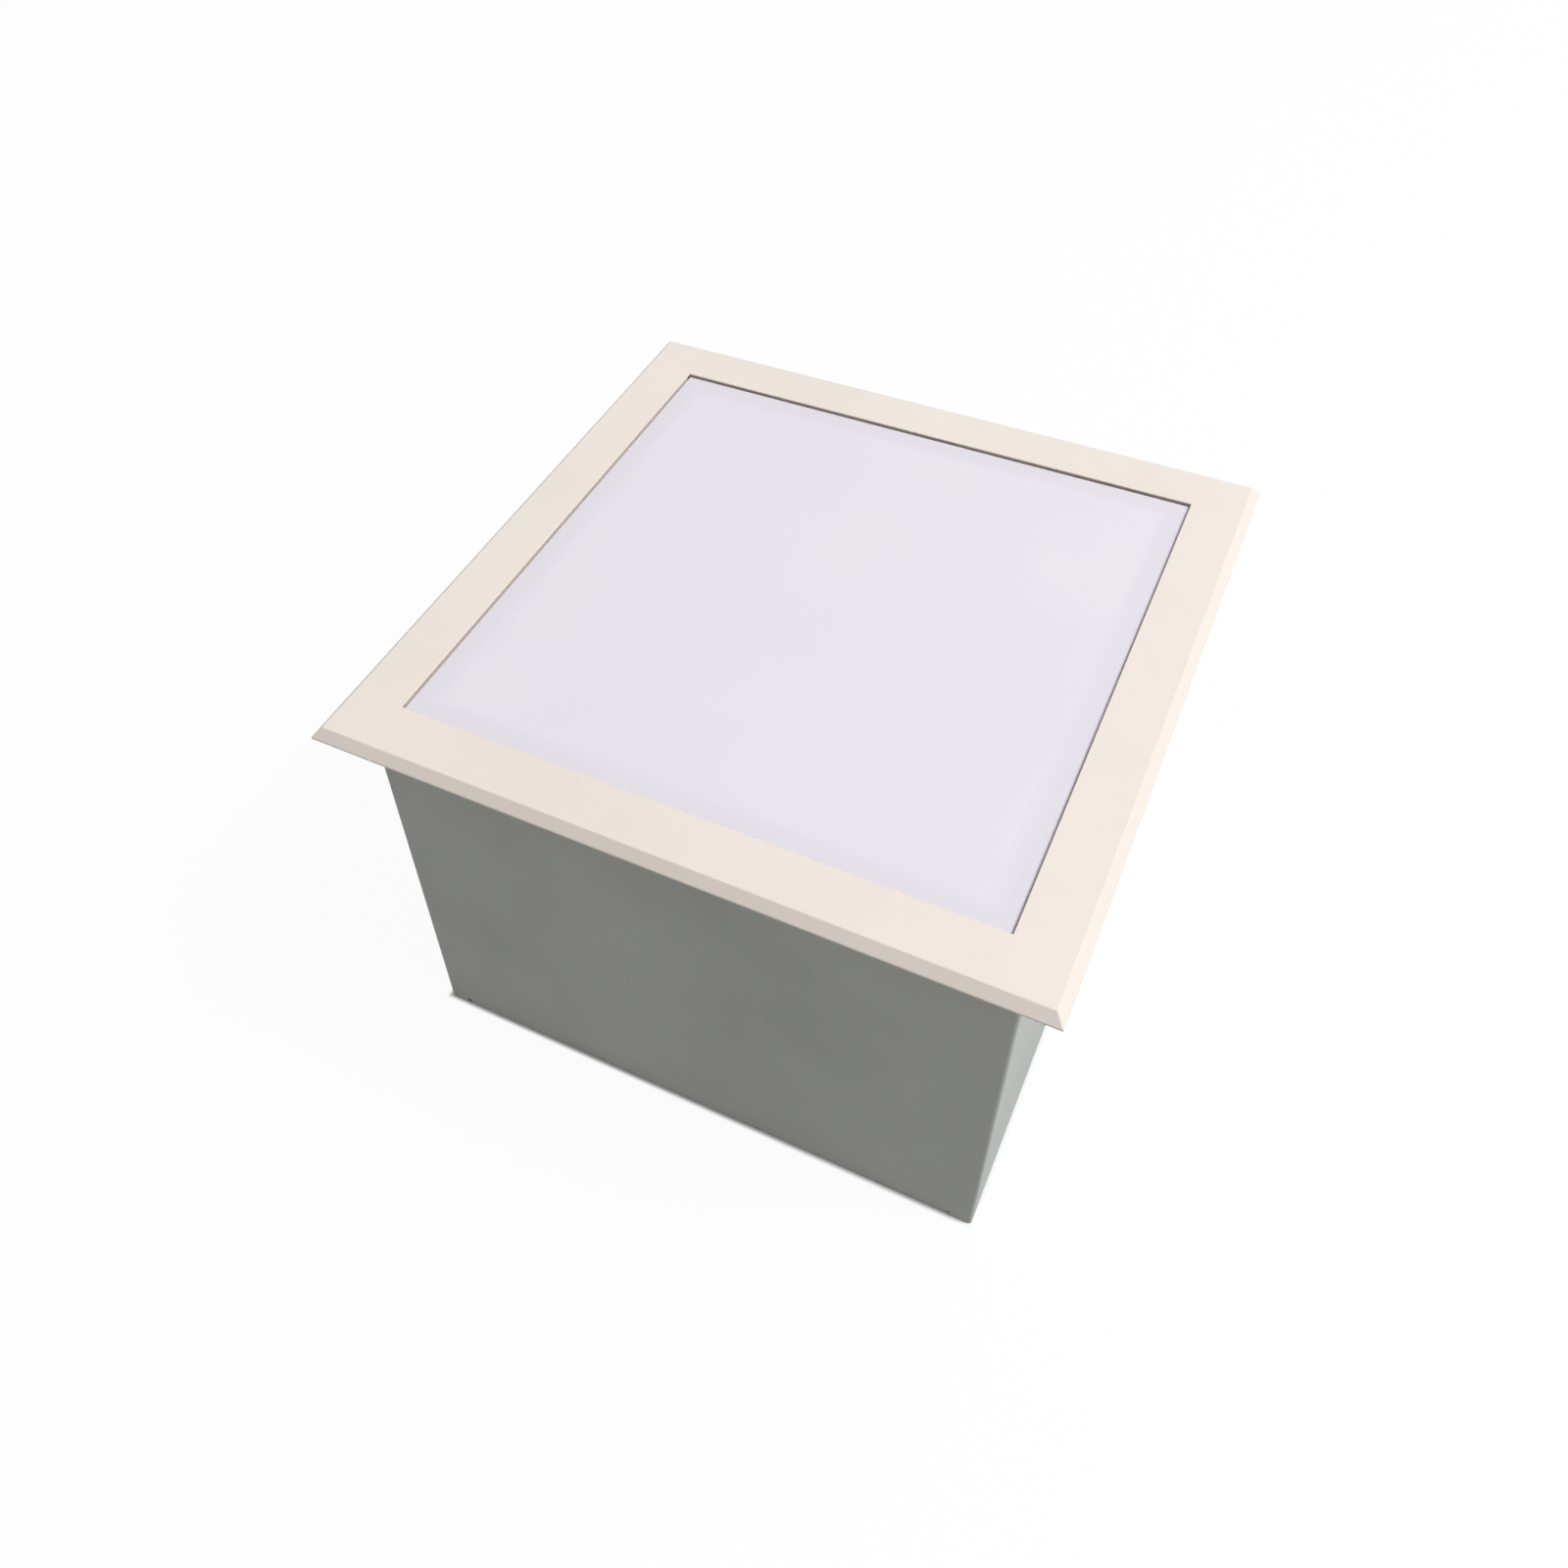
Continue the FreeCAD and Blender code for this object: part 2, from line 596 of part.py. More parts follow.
def quadrant_rivets():
    return group([rivet(point, -X_AXIS, QUADRANT_SHEET + SHEET + CREST_GAP)
                  for point in quadrant_rivet_points()])


def damper_lever():
    """Flat lever on the shaft's square, upright when the blade is shut, with a bent grip."""
    tip_angle = math.radians(LEVER_TIP_ANGLE)
    path = [(-LEVER_X, -LEVER_WIDTH / 2), (-LEVER_X, LEVER_LENGTH),
            (-LEVER_X + LEVER_TIP * math.sin(tip_angle),
             LEVER_LENGTH + LEVER_TIP * math.cos(tip_angle))]
    bar = folded_strip(path[::-1], LEVER_SHEET, LEVER_BEND).extrude(Vector(0, 0, LEVER_WIDTH))
    bar = laid(bar, -X_AXIS, Z_AXIS, damper_point(0, -LEVER_WIDTH / 2))
    # round both ends of the bar by a slot-shaped outline seen along the shaft
    far = LEVER_LENGTH + LEVER_TIP * math.cos(tip_angle) - LEVER_WIDTH / 2
    depth = LEVER_SHEET + LEVER_TIP
    left = LEVER_OUTER_X - LEVER_TIP
    outline = cylinder(LEVER_WIDTH / 2, damper_point(left), damper_point(left + depth))
    outline = outline.fuse([
        Part.makeBox(depth, LEVER_WIDTH, far, damper_point(left, -LEVER_WIDTH / 2)),
        cylinder(LEVER_WIDTH / 2, damper_point(left, 0, far), damper_point(left + depth, 0, far))])
    half = LEVER_SQUARE / 2
    square = Part.makeBox(LEVER_SHEET, LEVER_SQUARE, LEVER_SQUARE,
                          damper_point(LEVER_OUTER_X, -half, -half))
    bolt = small_round(LOCK_RADIUS, damper_point(LEVER_X, 0, SLOT_RADIUS),
                       damper_point(LEVER_OUTER_X, 0, SLOT_RADIUS))
    return bar.common(outline).cut([square, bolt]).removeSplitter()


def lever_nut():
    return hexagon_nut(M8_ACROSS_FLATS, M8_NUT, SHAFT_THREAD_RADIUS,
                       damper_point(LEVER_OUTER_X), -X_AXIS)


def lock_bolt():
    """Bolt that rides in the slot and clamps the lever."""
    seat = damper_point(QUADRANT_X + LEVER_GAP, 0, SLOT_RADIUS)
    tip = damper_point(LEVER_OUTER_X - LOCK_NUT - STUD_TAIL, 0, SLOT_RADIUS)
    head = small_round(LOCK_HEAD_RADIUS, seat + X_AXIS * LOCK_HEAD, seat)
    return head.fuse(small_round(LOCK_RADIUS, seat, tip)).removeSplitter()


def lock_wing_nut():
    """Nut with two upright wings."""
    base = damper_point(LEVER_OUTER_X, 0, SLOT_RADIUS)
    top = damper_point(LEVER_OUTER_X - LOCK_NUT, 0, SLOT_RADIUS)
    body = small_round(LOCK_NUT_RADIUS, base, top)
    wings = []
    for sign in (-1, 1):
        outline = [(WING_ROOT, WING_FOOT), (LOCK_NUT_RADIUS + WING_FOOT, WING_FOOT),
                   (WING_SPAN / 2, LOCK_NUT), (WING_SPAN / 2, WING_HEIGHT),
                   (WING_SPAN / 2 - WING_TIP, WING_HEIGHT), (WING_ROOT, LOCK_NUT)]
        corners = [damper_point(LEVER_OUTER_X - x, sign * y, SLOT_RADIUS - WING_SHEET / 2)
                   for y, x in outline]
        wings.append(Part.Face(Part.makePolygon(corners + corners[:1])).extrude(Z_AXIS * WING_SHEET))
    nut = body.fuse(wings)
    return nut.cut(small_round(LOCK_RADIUS, base, top)).removeSplitter()


# Filter seat and filter

def filter_seat():
    """Folded ring welded inside the walls, with four mitred sides."""
    outer = CASING_INNER
    inner = HALF_SEAT
    low = SEAT_HEIGHT - SEAT_SHEET
    path = [(inner, low - SEAT_LIP), (inner, SEAT_HEIGHT), (outer - SEAT_SHEET, SEAT_HEIGHT),
            (outer - SEAT_SHEET, SEAT_HEIGHT + SEAT_WELD_FLANGE)]
    # the metal lies on the outer and lower side of the path
    section = sharp_strip(path[::-1], SEAT_SHEET)
    side = mitred(front_bar(section, CASING_SIZE))
    ring = side.fuse([to_side(side, name) for name in ("right", "rear", "left")])
    # the upright corners clear the rounded folds of the wall
    bound = square_plate(CASING_INNER, 0, OVERALL_HEIGHT, BEND)
    return ring.common(bound).removeSplitter()


def filter_gasket():
    outer = HALF_FILTER
    return square_ring(outer, outer - GASKET_WIDTH, SEAT_HEIGHT, FILTER_BOTTOM)


def filter_rail():
    """Aluminium channel that is open towards the pack."""
    outer, wall = HALF_FILTER, FILTER_WALL
    inner = outer - FILTER_CHANNEL
    outline = [(inner, FILTER_BOTTOM), (outer, FILTER_BOTTOM), (outer, FILTER_TOP),
               (inner, FILTER_TOP), (inner, FILTER_TOP - wall), (outer - wall, FILTER_TOP - wall),
               (outer - wall, FILTER_BOTTOM + wall), (inner, FILTER_BOTTOM + wall)]
    return mitred(front_bar(Part.Face(polygon(outline)), 2 * outer))


def filter_sealant():
    """Potting compound that bonds the pack into the channels."""
    outer = HALF_FILTER - FILTER_WALL
    half_depth = PACK_DEPTH / 2
    return square_ring(outer, HALF_PACK, FILTER_MIDDLE - half_depth, FILTER_MIDDLE + half_depth)


def filter_pack():
    """Glass fibre paper folded into one row of deep, narrow pleats."""
    run = HALF_PACK / PLEATS
    # height of the leaning paper on an upright line, so that it is MEDIA thick
    slope = (run / MEDIA) ** 2 - 1
    slice_height = (math.sqrt(PACK_DEPTH ** 2 + slope * (PACK_DEPTH ** 2 + run ** 2))
                    - PACK_DEPTH) / slope
    rise = (PACK_DEPTH - slice_height) / 2
    fold = [(-HALF_PACK + i * run, FILTER_MIDDLE + (rise if i % 2 else -rise))
            for i in range(2 * PLEATS + 1)]
    upper = [Vector(x, -HALF_PACK, z + slice_height / 2) for x, z in fold]
    lower = [Vector(x, -HALF_PACK, z - slice_height / 2) for x, z in reversed(fold)]
    corners = upper + lower
    return Part.Face(Part.makePolygon(corners + corners[:1])).extrude(Y_AXIS * 2 * HALF_PACK)


def pleat_separators():
    """Glue threads across the pleat tips, on both faces of the pack."""
    tip = PACK_DEPTH / 2
    step = 2 * HALF_PACK / SEPARATORS
    threads = []
    for i in range(SEPARATORS):
        y = -HALF_PACK + (i + 0.5) * step - SEPARATOR_WIDTH / 2
        for z in (FILTER_MIDDLE + tip, FILTER_MIDDLE - tip - SEPARATOR_HEIGHT):
            threads.append(Part.makeBox(2 * HALF_PACK, SEPARATOR_WIDTH, SEPARATOR_HEIGHT,
                                        Vector(-HALF_PACK, y, z)))
    return group(threads)


def filter_guard():
    """Welded wire guard held under the channels' upper legs."""
    reach = HALF_FILTER - FILTER_WALL - GUARD_INSET
    radius = GUARD_WIRE / 2
    upper = FILTER_TOP - FILTER_WALL - radius
    step = 2 * reach / (GUARD_WIRES + 1)
    wires = []
    for i in range(GUARD_WIRES):
        place = -reach + (i + 1) * step
        wires.append(prism(6, radius, Vector(-reach, place, upper), Vector(reach, place, upper)))
        lower = upper - GUARD_WIRE
        wires.append(prism(6, radius, Vector(place, -reach, lower), Vector(place, reach, lower)))
    return group(wires)


# Filter clamps

def filter_clamp():
    """Folded strap with its leg on the seat and its arm on the filter's frame."""
    leg = CASING_INNER - SEAT_SHEET - CLAMP_LEG_GAP
    path = [(leg, SEAT_HEIGHT), (leg, CLAMP_TOP), (HALF_FILTER - CLAMP_REACH, CLAMP_TOP)]
    strap = front_bar(sharp_strip(path, CLAMP_SHEET), CLAMP_WIDTH)
    hole = small_round(M8_RADIUS, stud_point(FILTER_TOP), stud_point(CLAMP_TOP))
    return strap.cut(hole).removeSplitter()


def stud_point(height):
    return Vector(0, -STUD_LINE, height)


def clamp_studs():
    """Threaded studs welded on the seat."""
    top = CLAMP_TOP + WASHER + M8_NUT + STUD_TAIL
    return group(around(small_round(M8_RADIUS, stud_point(SEAT_HEIGHT), stud_point(top))))


def clamp_washers():
    low, high = stud_point(CLAMP_TOP), stud_point(CLAMP_TOP + WASHER)
    ring = small_round(WASHER_RADIUS, low, high).cut(small_round(M8_RADIUS, low, high))
    return group(around(ring))


def clamp_nuts():
    nut = hexagon_nut(M8_ACROSS_FLATS, M8_NUT, M8_RADIUS, stud_point(CLAMP_TOP + WASHER), Z_AXIS)
    return group(around(nut))


# Face frame

def bracket_places():
    """Copies along one side, at the places of its brackets."""
    half = HALF_OPENING - BRACKET_INSET
    return -half, half


def frame_brackets():
    """Angle brackets spot-welded inside the walls, under the face frame's ledge."""
    outer = CASING_INNER
    path = [(outer, LEDGE_BOTTOM - BRACKET_LEG), (outer, LEDGE_BOTTOM), (LEDGE_INNER, LEDGE_BOTTOM)]
    angle = front_bar(sharp_strip(path, BRACKET_SHEET), BRACKET_WIDTH)
    screw = Vector(0, -SCREW_LINE, LEDGE_BOTTOM)
    angle = angle.cut(small_round(SCREW_RADIUS, screw - Z_AXIS * BRACKET_SHEET, screw))
    return group([to_side(angle.translated(X_AXIS * x), side)
                  for side in SIDE_ANGLES for x in bracket_places()])


def bracket_nuts():
    top = LEDGE_BOTTOM - BRACKET_SHEET
    nuts = []
    for x in bracket_places():
        upper, lower = Vector(x, -SCREW_LINE, top), Vector(x, -SCREW_LINE, top - BRACKET_NUT)
        nut = prism(6, BRACKET_NUT_RADIUS, lower, upper)
        nuts += around(nut.cut(small_round(SCREW_RADIUS, lower, upper)))
    return group(nuts)


def frame_screws():
    """Pan head screws through the ledge, reached once the screen is out."""
    screws = []
    tip = LEDGE_BOTTOM - BRACKET_SHEET - BRACKET_NUT - SCREW_REST
    for x in bracket_places():
        seat = Vector(x, -SCREW_LINE, LEDGE_TOP)
        head = small_round(SCREW_HEAD_RADIUS, seat, seat + Z_AXIS * SCREW_HEAD)
        shank = small_round(SCREW_RADIUS, Vector(x, -SCREW_LINE, tip), seat)
        screws += around(head.fuse(shank).removeSplitter())
    return group(screws)


def face_rail():
    """Extruded side of the face frame: bevelled cover, locating skirt, inner web and ledge."""
    top, under, wall = OVERALL_HEIGHT, FACE_UNDERSIDE, FACE_WALL
    bevel_top = HALF_FACE - BEVEL_WIDTH
    bevel_foot = top - BEVEL_HEIGHT
    rim = bevel_foot - RIM_HEIGHT
    # the inner line of the bevel runs one wall inside the outer one
    outer_line = [(HALF_OPENING, top), (bevel_top, top), (HALF_FACE, bevel_foot), (HALF_FACE, rim)]
    inner_line = offset_path(outer_line, -wall)
    web = HALF_OPENING + wall
    skirt = SKIRT_OUTER - wall
    skirt_foot = under - SKIRT_HEIGHT
    outline = outer_line + [inner_line[3], inner_line[2], inner_line[1],
                            (SKIRT_OUTER, under), (SKIRT_OUTER, skirt_foot), (skirt, skirt_foot),
                            (skirt, under), (web, under), (web, LEDGE_BOTTOM),
                            (LEDGE_INNER, LEDGE_BOTTOM), (LEDGE_INNER, LEDGE_TOP),
                            (HALF_OPENING, LEDGE_TOP)]
    bar = front_bar(Part.Face(polygon(outline)), FACE_SIZE)
    bevel_edge = [e for e in bar.Edges if e.Length > HALF_FACE
                  and abs(-e.CenterOfMass.y - bevel_top) < wall / 4
                  and abs(e.CenterOfMass.z - top) < wall / 4]
    rail = mitred(bar.makeFillet(RIM_ROUND, bevel_edge))
    notch = Part.makeBox(2 * SKIRT_NOTCH, 2 * wall, SKIRT_HEIGHT,
                         Vector(-SKIRT_NOTCH, -SKIRT_OUTER - wall / 2, skirt_foot))
    notches = [notch.translated(X_AXIS * SKIRT_OUTER), notch.translated(-X_AXIS * SKIRT_OUTER)]
    holes = [small_round(SCREW_RADIUS, Vector(x, -SCREW_LINE, LEDGE_BOTTOM),
                         Vector(x, -SCREW_LINE, LEDGE_TOP)) for x in bracket_places()]
    return rail.cut(notches + holes).removeSplitter()


def corner_key(outer, inner, bottom, top, leg):
    """L-shaped key for one corner, pressed into the hollow of two rails."""
    ring = square_ring(outer, inner, bottom, top)
    corner = Part.makeBox(leg, leg, top - bottom, Vector(outer - leg, -outer, bottom))
    return ring.common(corner).removeSplitter()


def face_corner_keys():
    web = HALF_OPENING + FACE_WALL + KEY_PLAY
    skirt = SKIRT_OUTER - FACE_WALL - KEY_PLAY
    return group(around(corner_key(skirt, web, FACE_UNDERSIDE - KEY_HEIGHT, FACE_UNDERSIDE,
                                   KEY_LEG)))


# Membrane screen

def screen_rail():
    """Hollow aluminium rail with a spline groove near each face."""
    outer, inner = HALF_SCREEN, HALF_SCREEN - SCREEN_RAIL
    low, high = SCREEN_BOTTOM, SCREEN_TOP
    back = outer - GROOVE_DEPTH
    outline = [(inner, low), (outer, low),
               (outer, low + GROOVE_SETBACK), (back, low + GROOVE_SETBACK),
               (back, low + GROOVE_SETBACK + GROOVE), (outer, low + GROOVE_SETBACK + GROOVE),
               (outer, high - GROOVE_SETBACK - GROOVE), (back, high - GROOVE_SETBACK - GROOVE),
               (back, high - GROOVE_SETBACK), (outer, high - GROOVE_SETBACK),
               (outer, high), (inner, high)]
    wall = SCREEN_WALL
    hollow = [(inner + wall, low + wall), (back - wall, low + wall),
              (back - wall, high - wall), (inner + wall, high - wall)]
    section = Part.Face(polygon(outline)).cut(Part.Face(polygon(hollow)))
    return mitred(front_bar(section.Faces[0], 2 * outer))


def screen_corner_keys():
    outer = HALF_SCREEN - GROOVE_DEPTH - SCREEN_WALL - KEY_PLAY
    inner = HALF_SCREEN - SCREEN_RAIL + SCREEN_WALL + KEY_PLAY
    low = SCREEN_BOTTOM + SCREEN_WALL + KEY_PLAY
    high = SCREEN_TOP - SCREEN_WALL - KEY_PLAY
    return group(around(corner_key(outer, inner, low, high, SCREEN_KEY_LEG)))


def membrane(sign):
    """Membrane stretched over one face of the screen and tucked round its outer edge."""
    face = SCREEN_TOP if sign > 0 else SCREEN_BOTTOM
    outer = HALF_SCREEN + MEMBRANE
    skin = face + sign * MEMBRANE
    edge = face - sign * GROOVE_SETBACK
    low, high = min(skin, edge), max(skin, edge)
    slab = square_plate(outer, low, high)
    rim = [e for e in slab.Edges if abs(e.CenterOfMass.z - skin) < MEMBRANE / 4]
    slab = slab.makeFillet(MEMBRANE_ROUND, rim)
    inside = (edge, face) if sign > 0 else (face, edge)
    return slab.cut(square_plate(HALF_SCREEN, *inside))


def spline(sign):
    """Square cord that holds the membrane's edge in its groove."""
    face = SCREEN_TOP if sign > 0 else SCREEN_BOTTOM
    near = face - sign * GROOVE_SETBACK
    far = near - sign * GROOVE
    return square_ring(HALF_SCREEN, HALF_SCREEN - GROOVE_DEPTH, min(near, far), max(near, far))


def ledge_seal():
    """Foam strip between the ledge and the screen."""
    outer = HALF_OPENING - SCREEN_GAP
    return square_ring(outer, outer - LEDGE_SEAL_WIDTH, LEDGE_TOP, LEDGE_TOP + LEDGE_SEAL)


def screen_seal():
    """Rubber strip that grips the screen in the face frame."""
    middle = (SCREEN_TOP + SCREEN_BOTTOM) / 2
    return square_ring(HALF_OPENING, HALF_SCREEN, middle - SIDE_SEAL / 2, middle + SIDE_SEAL / 2)


def pieces():
    """Every node of the assembly by name."""
    nodes = {
        "casing_wrap": casing_wrap(),
        "back_plate": back_plate(),
        "hanger_nuts": hanger_nuts(),
        "inlet_collar": inlet_collar(),
        "collar_rivets": collar_rivets(),
        "damper_blade": damper_blade(),
        "damper_shaft": damper_shaft(),
        "blade_screws": blade_screws(),
        "shaft_bush_left": shaft_bush(-1, QUADRANT_STAND_OFF),
        "shaft_bush_right": shaft_bush(1, BUSH_FLANGE),
        "damper_quadrant": damper_quadrant(),
        "quadrant_rivets": quadrant_rivets(),
        "damper_lever": damper_lever(),
        "lever_nut": lever_nut(),
        "lock_bolt": lock_bolt(),
        "lock_wing_nut": lock_wing_nut(),
        "filter_seat": filter_seat(),
        "clamp_studs": clamp_studs(),
        "filter_gasket": filter_gasket(),
        "filter_sealant": filter_sealant(),
        "filter_pack": filter_pack(),
        "pleat_separators": pleat_separators(),
        "filter_guard": filter_guard(),
        "clamp_washers": clamp_washers(),
        "clamp_nuts": clamp_nuts(),
        "frame_brackets": frame_brackets(),
        "bracket_nuts": bracket_nuts(),
        "frame_screws": frame_screws(),
        "face_corner_keys": face_corner_keys(),
        "screen_corner_keys": screen_corner_keys(),
        "membrane_outer": membrane(1),
        "membrane_inner": membrane(-1),
        "spline_outer": spline(1),
        "spline_inner": spline(-1),
        "ledge_seal": ledge_seal(),
        "screen_seal": screen_seal(),
    }
    for name, shape in (("filter_rail", filter_rail()), ("filter_clamp", filter_clamp()),
                        ("face_rail", face_rail()), ("screen_rail", screen_rail())):
        for side in SIDE_ANGLES:
            nodes[name + "_" + side] = to_side(shape, side)
    return nodes


os.makedirs("parts", exist_ok=True)
for node, shape in pieces().items():
    shape.exportStep("parts/" + node + ".step")
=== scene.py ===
# %% [markdown]
# A ceiling air outlet for a clean room, lying on its back with the outlet face up.
# A folded steel box holds a pleated filter, a white frame covers the box's mouth, and a
# screen of taut cloth fills the frame. Behind is a round collar with a damper in it.
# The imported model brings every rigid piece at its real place, so this lesson adds what
# a model of plain solids can't carry: cloth, rubber and foam, turned and threaded small
# parts, the paints and metals, the camera and the light.

import json
import math

import bmesh
import bpy
from mathutils import Matrix, Vector


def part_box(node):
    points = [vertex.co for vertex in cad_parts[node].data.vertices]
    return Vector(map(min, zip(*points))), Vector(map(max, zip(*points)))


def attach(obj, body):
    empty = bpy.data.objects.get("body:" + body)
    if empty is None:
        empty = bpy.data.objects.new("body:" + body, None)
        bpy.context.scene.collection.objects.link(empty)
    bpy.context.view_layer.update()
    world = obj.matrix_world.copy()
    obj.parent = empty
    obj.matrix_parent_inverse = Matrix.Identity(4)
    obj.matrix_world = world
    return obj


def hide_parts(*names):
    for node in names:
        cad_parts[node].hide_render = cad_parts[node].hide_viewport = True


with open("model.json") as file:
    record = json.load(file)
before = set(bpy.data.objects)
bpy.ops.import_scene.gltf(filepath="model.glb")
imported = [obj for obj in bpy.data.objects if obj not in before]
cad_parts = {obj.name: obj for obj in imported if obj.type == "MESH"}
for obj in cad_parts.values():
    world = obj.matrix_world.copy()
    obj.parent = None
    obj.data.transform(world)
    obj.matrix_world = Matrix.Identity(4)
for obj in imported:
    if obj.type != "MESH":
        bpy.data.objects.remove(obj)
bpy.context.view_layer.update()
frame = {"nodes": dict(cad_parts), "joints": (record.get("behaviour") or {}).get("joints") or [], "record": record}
nodes = frame["nodes"]
MM = 0.001
SIDES = ("front", "right", "rear", "left")
X_AXIS, Y_AXIS, Z_AXIS = Vector((1, 0, 0)), Vector((0, 1, 0)), Vector((0, 0, 1))
print("pieces from the model:", len(nodes))

# %% [markdown]
# Sizes could be typed in again here, but then the lesson would drift away from the model
# when one of them changes. So they are read from the boxes of the model's own pieces: a
# rail's box tells how wide the opening is, and the joint tells where the damper turns.
# Two small lengths serve all through: what lies within NEAR counts as being in a place,
# and points within MERGE are made into one.

# %% Measures taken from the model
top_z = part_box("face_rail_front")[1].z
half_face = -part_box("face_rail_front")[0].y
half_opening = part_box("screen_seal")[1].x
half_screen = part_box("screen_rail_right")[1].x
rail_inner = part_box("screen_rail_right")[0].x
pivot = Vector(frame["joints"][0]["pos_m"])
NEAR = 0.1 * MM
MERGE = 0.001 * MM
print("face %.0f mm, opening %.0f mm" % (2 * half_face / MM, 2 * half_opening / MM))
print("damper turns about", [round(c / MM, 1) for c in pivot])

# %% [markdown]
# Colours are written as the hex values that a paint card or a picture editor shows.
# Shaders work in linear light, where a value of a half is half the light, so one
# function turns each hex value to linear. Typing linear numbers by eye would work too,
# but nobody could compare them with a picture.

# %% Colour from a hex value
def linear(code):
    """The linear colour of an sRGB hex value."""
    parts = [int(code[i:i + 2], 16) / 255 for i in (1, 3, 5)]
    return [p / 12.92 if p <= 0.04045 else ((p + 0.055) / 1.055) ** 2.4 for p in parts] + [1.0]


print("middle grey in linear light: %.3f" % linear("#808080")[0])

# %% [markdown]
# A finish is a small tree of shader nodes. Building a tree by hand in code takes three
# kinds of line again and again: make a node, fill its settings, link its sockets. One
# function does all three. A second one starts a finish with the values that are the same
# all over the surface, set on the shader's own sockets, where an export can find them.
# A last one gives a point's distance from the middle of the plan, for what runs round a
# square.

# %% Nodes and finishes
def output_of(source):
    """A socket as it is, and a node's first output for a node."""
    return source.outputs[0] if isinstance(source, bpy.types.Node) else source


def add_node(tree, kind, settings=None, links=None):
    """A shader node with its settings, fed by other nodes or their sockets."""
    made = tree.nodes.new("ShaderNode" + kind)
    for name, value in (settings or {}).items():
        if isinstance(name, str) and hasattr(made, name):
            setattr(made, name, value)
        else:
            made.inputs[name].default_value = value
    for name, source in (links or {}).items():
        tree.links.new(output_of(source), made.inputs[name])
    return made


def start_finish(name, settings):
    """A material with a Principled shader, and its tree, shader and place on the object."""
    material = bpy.data.materials.new(name)
    material.use_nodes = True
    tree = material.node_tree
    shader = tree.nodes["Principled BSDF"]
    for socket, value in settings.items():
        shader.inputs[socket].default_value = value
    place = add_node(tree, "TexCoord").outputs["Object"]
    return material, tree, shader, place


def wire(tree, shader, colour=None, roughness=None, normal=None):
    """Links a finish's patterns to the shader."""
    for socket, source in (("Base Color", colour), ("Roughness", roughness), ("Normal", normal)):
        if source:
            tree.links.new(output_of(source), shader.inputs[socket])


def plan_reach(tree, place):
    """The larger of a point's two plan distances from the middle: equal on a square."""
    split = add_node(tree, "SeparateXYZ", {}, {0: place})
    across, along = (add_node(tree, "Math", {"operation": "ABSOLUTE"}, {0: split.outputs[axis]})
                     for axis in (0, 1))
    return add_node(tree, "Math", {"operation": "MAXIMUM"}, {0: across, 1: along})


print("a finish feeds Base Color, Roughness and Normal")

# %% [markdown]
# The box and the frame are powder coated: dry paint is sprayed on and baked, and it
# flows to an even skin with a fine orange peel. To the eye that gives a soft sheen with
# no sparkle, edges that look a little rounded, and a tone that drifts slightly over a
# large sheet. The drift is a noise some 200 mm wide. The peel is a bump about 2 mm wide
# and a few hundredths deep. Folds and cut edges are rounded by a Bevel node, which
# bends the shading near an edge, because the model's own edges are sharp.

# %% Powder coat
def powder_coat(name, colour, shade, roughness, peel_mm, peel_depth_mm, edge_mm, drift_mm=220):
    """Baked powder paint: even colour, slow drift in tone, orange peel and soft edges."""
    material, tree, shader, place = start_finish(name, {"IOR": 1.5, "Specular IOR Level": 0.35})
    cloud = add_node(tree, "TexNoise", {"Scale": 1 / (drift_mm * MM), "Detail": 7.0,
                                        "Roughness": 0.6}, {"Vector": place})
    drift = add_node(tree, "MapRange", {"From Min": 0.35, "From Max": 0.65}, {"Value": cloud})
    mix = add_node(tree, "Mix", {"data_type": "RGBA", 6: linear(colour), 7: linear(shade)},
                   {0: drift})
    gloss = add_node(tree, "MapRange", {"To Min": roughness - 0.03, "To Max": roughness + 0.03},
                     {"Value": drift})
    peel = add_node(tree, "TexNoise", {"Scale": 1 / (peel_mm * MM), "Detail": 2.0},
                    {"Vector": place})
    edge = add_node(tree, "Bevel", {"samples": 4, "Radius": edge_mm * MM})
    bump = add_node(tree, "Bump", {"Strength": 0.35, "Distance": peel_depth_mm * MM},
                    {"Height": peel, "Normal": edge})
    wire(tree, shader, mix.outputs[2], gloss, bump)
    return material


# The casing: an even, cool light grey with a soft sheen, like any duct work.
casing_paint = powder_coat("light_grey_powder_coat", "#C1C3BD", "#B8BAB4", 0.50, 2.2, 0.03, 0.8)
# The frame: a warm white, a little glossier, that stands out from the lilac screen.
frame_paint = powder_coat("warm_white_powder_coat", "#F6ECE1", "#F2E7DC", 0.45, 1.8, 0.02, 0.6)
# The filter's wire guard: a neutral white that rounds its thin wires.
guard_paint = powder_coat("white_powder_coat", "#EEEEEC", "#EAEAE8", 0.45, 1.8, 0.02, 0.3)
print("painted finishes:", casing_paint.name, frame_paint.name, guard_paint.name)

# %% [markdown]
# The collar and the damper blade are hot-dip galvanised sheet. The zinc freezes in
# flat crystals, the spangle, about 10 mm across, and each mirrors the room a little
# differently. A Voronoi pattern gives one random value to each cell. Its straight cell
# walls look drawn with a ruler, so the coordinates are first pushed about by a noise.
# The value steers both tone and roughness, which is what makes neighbours stand apart.

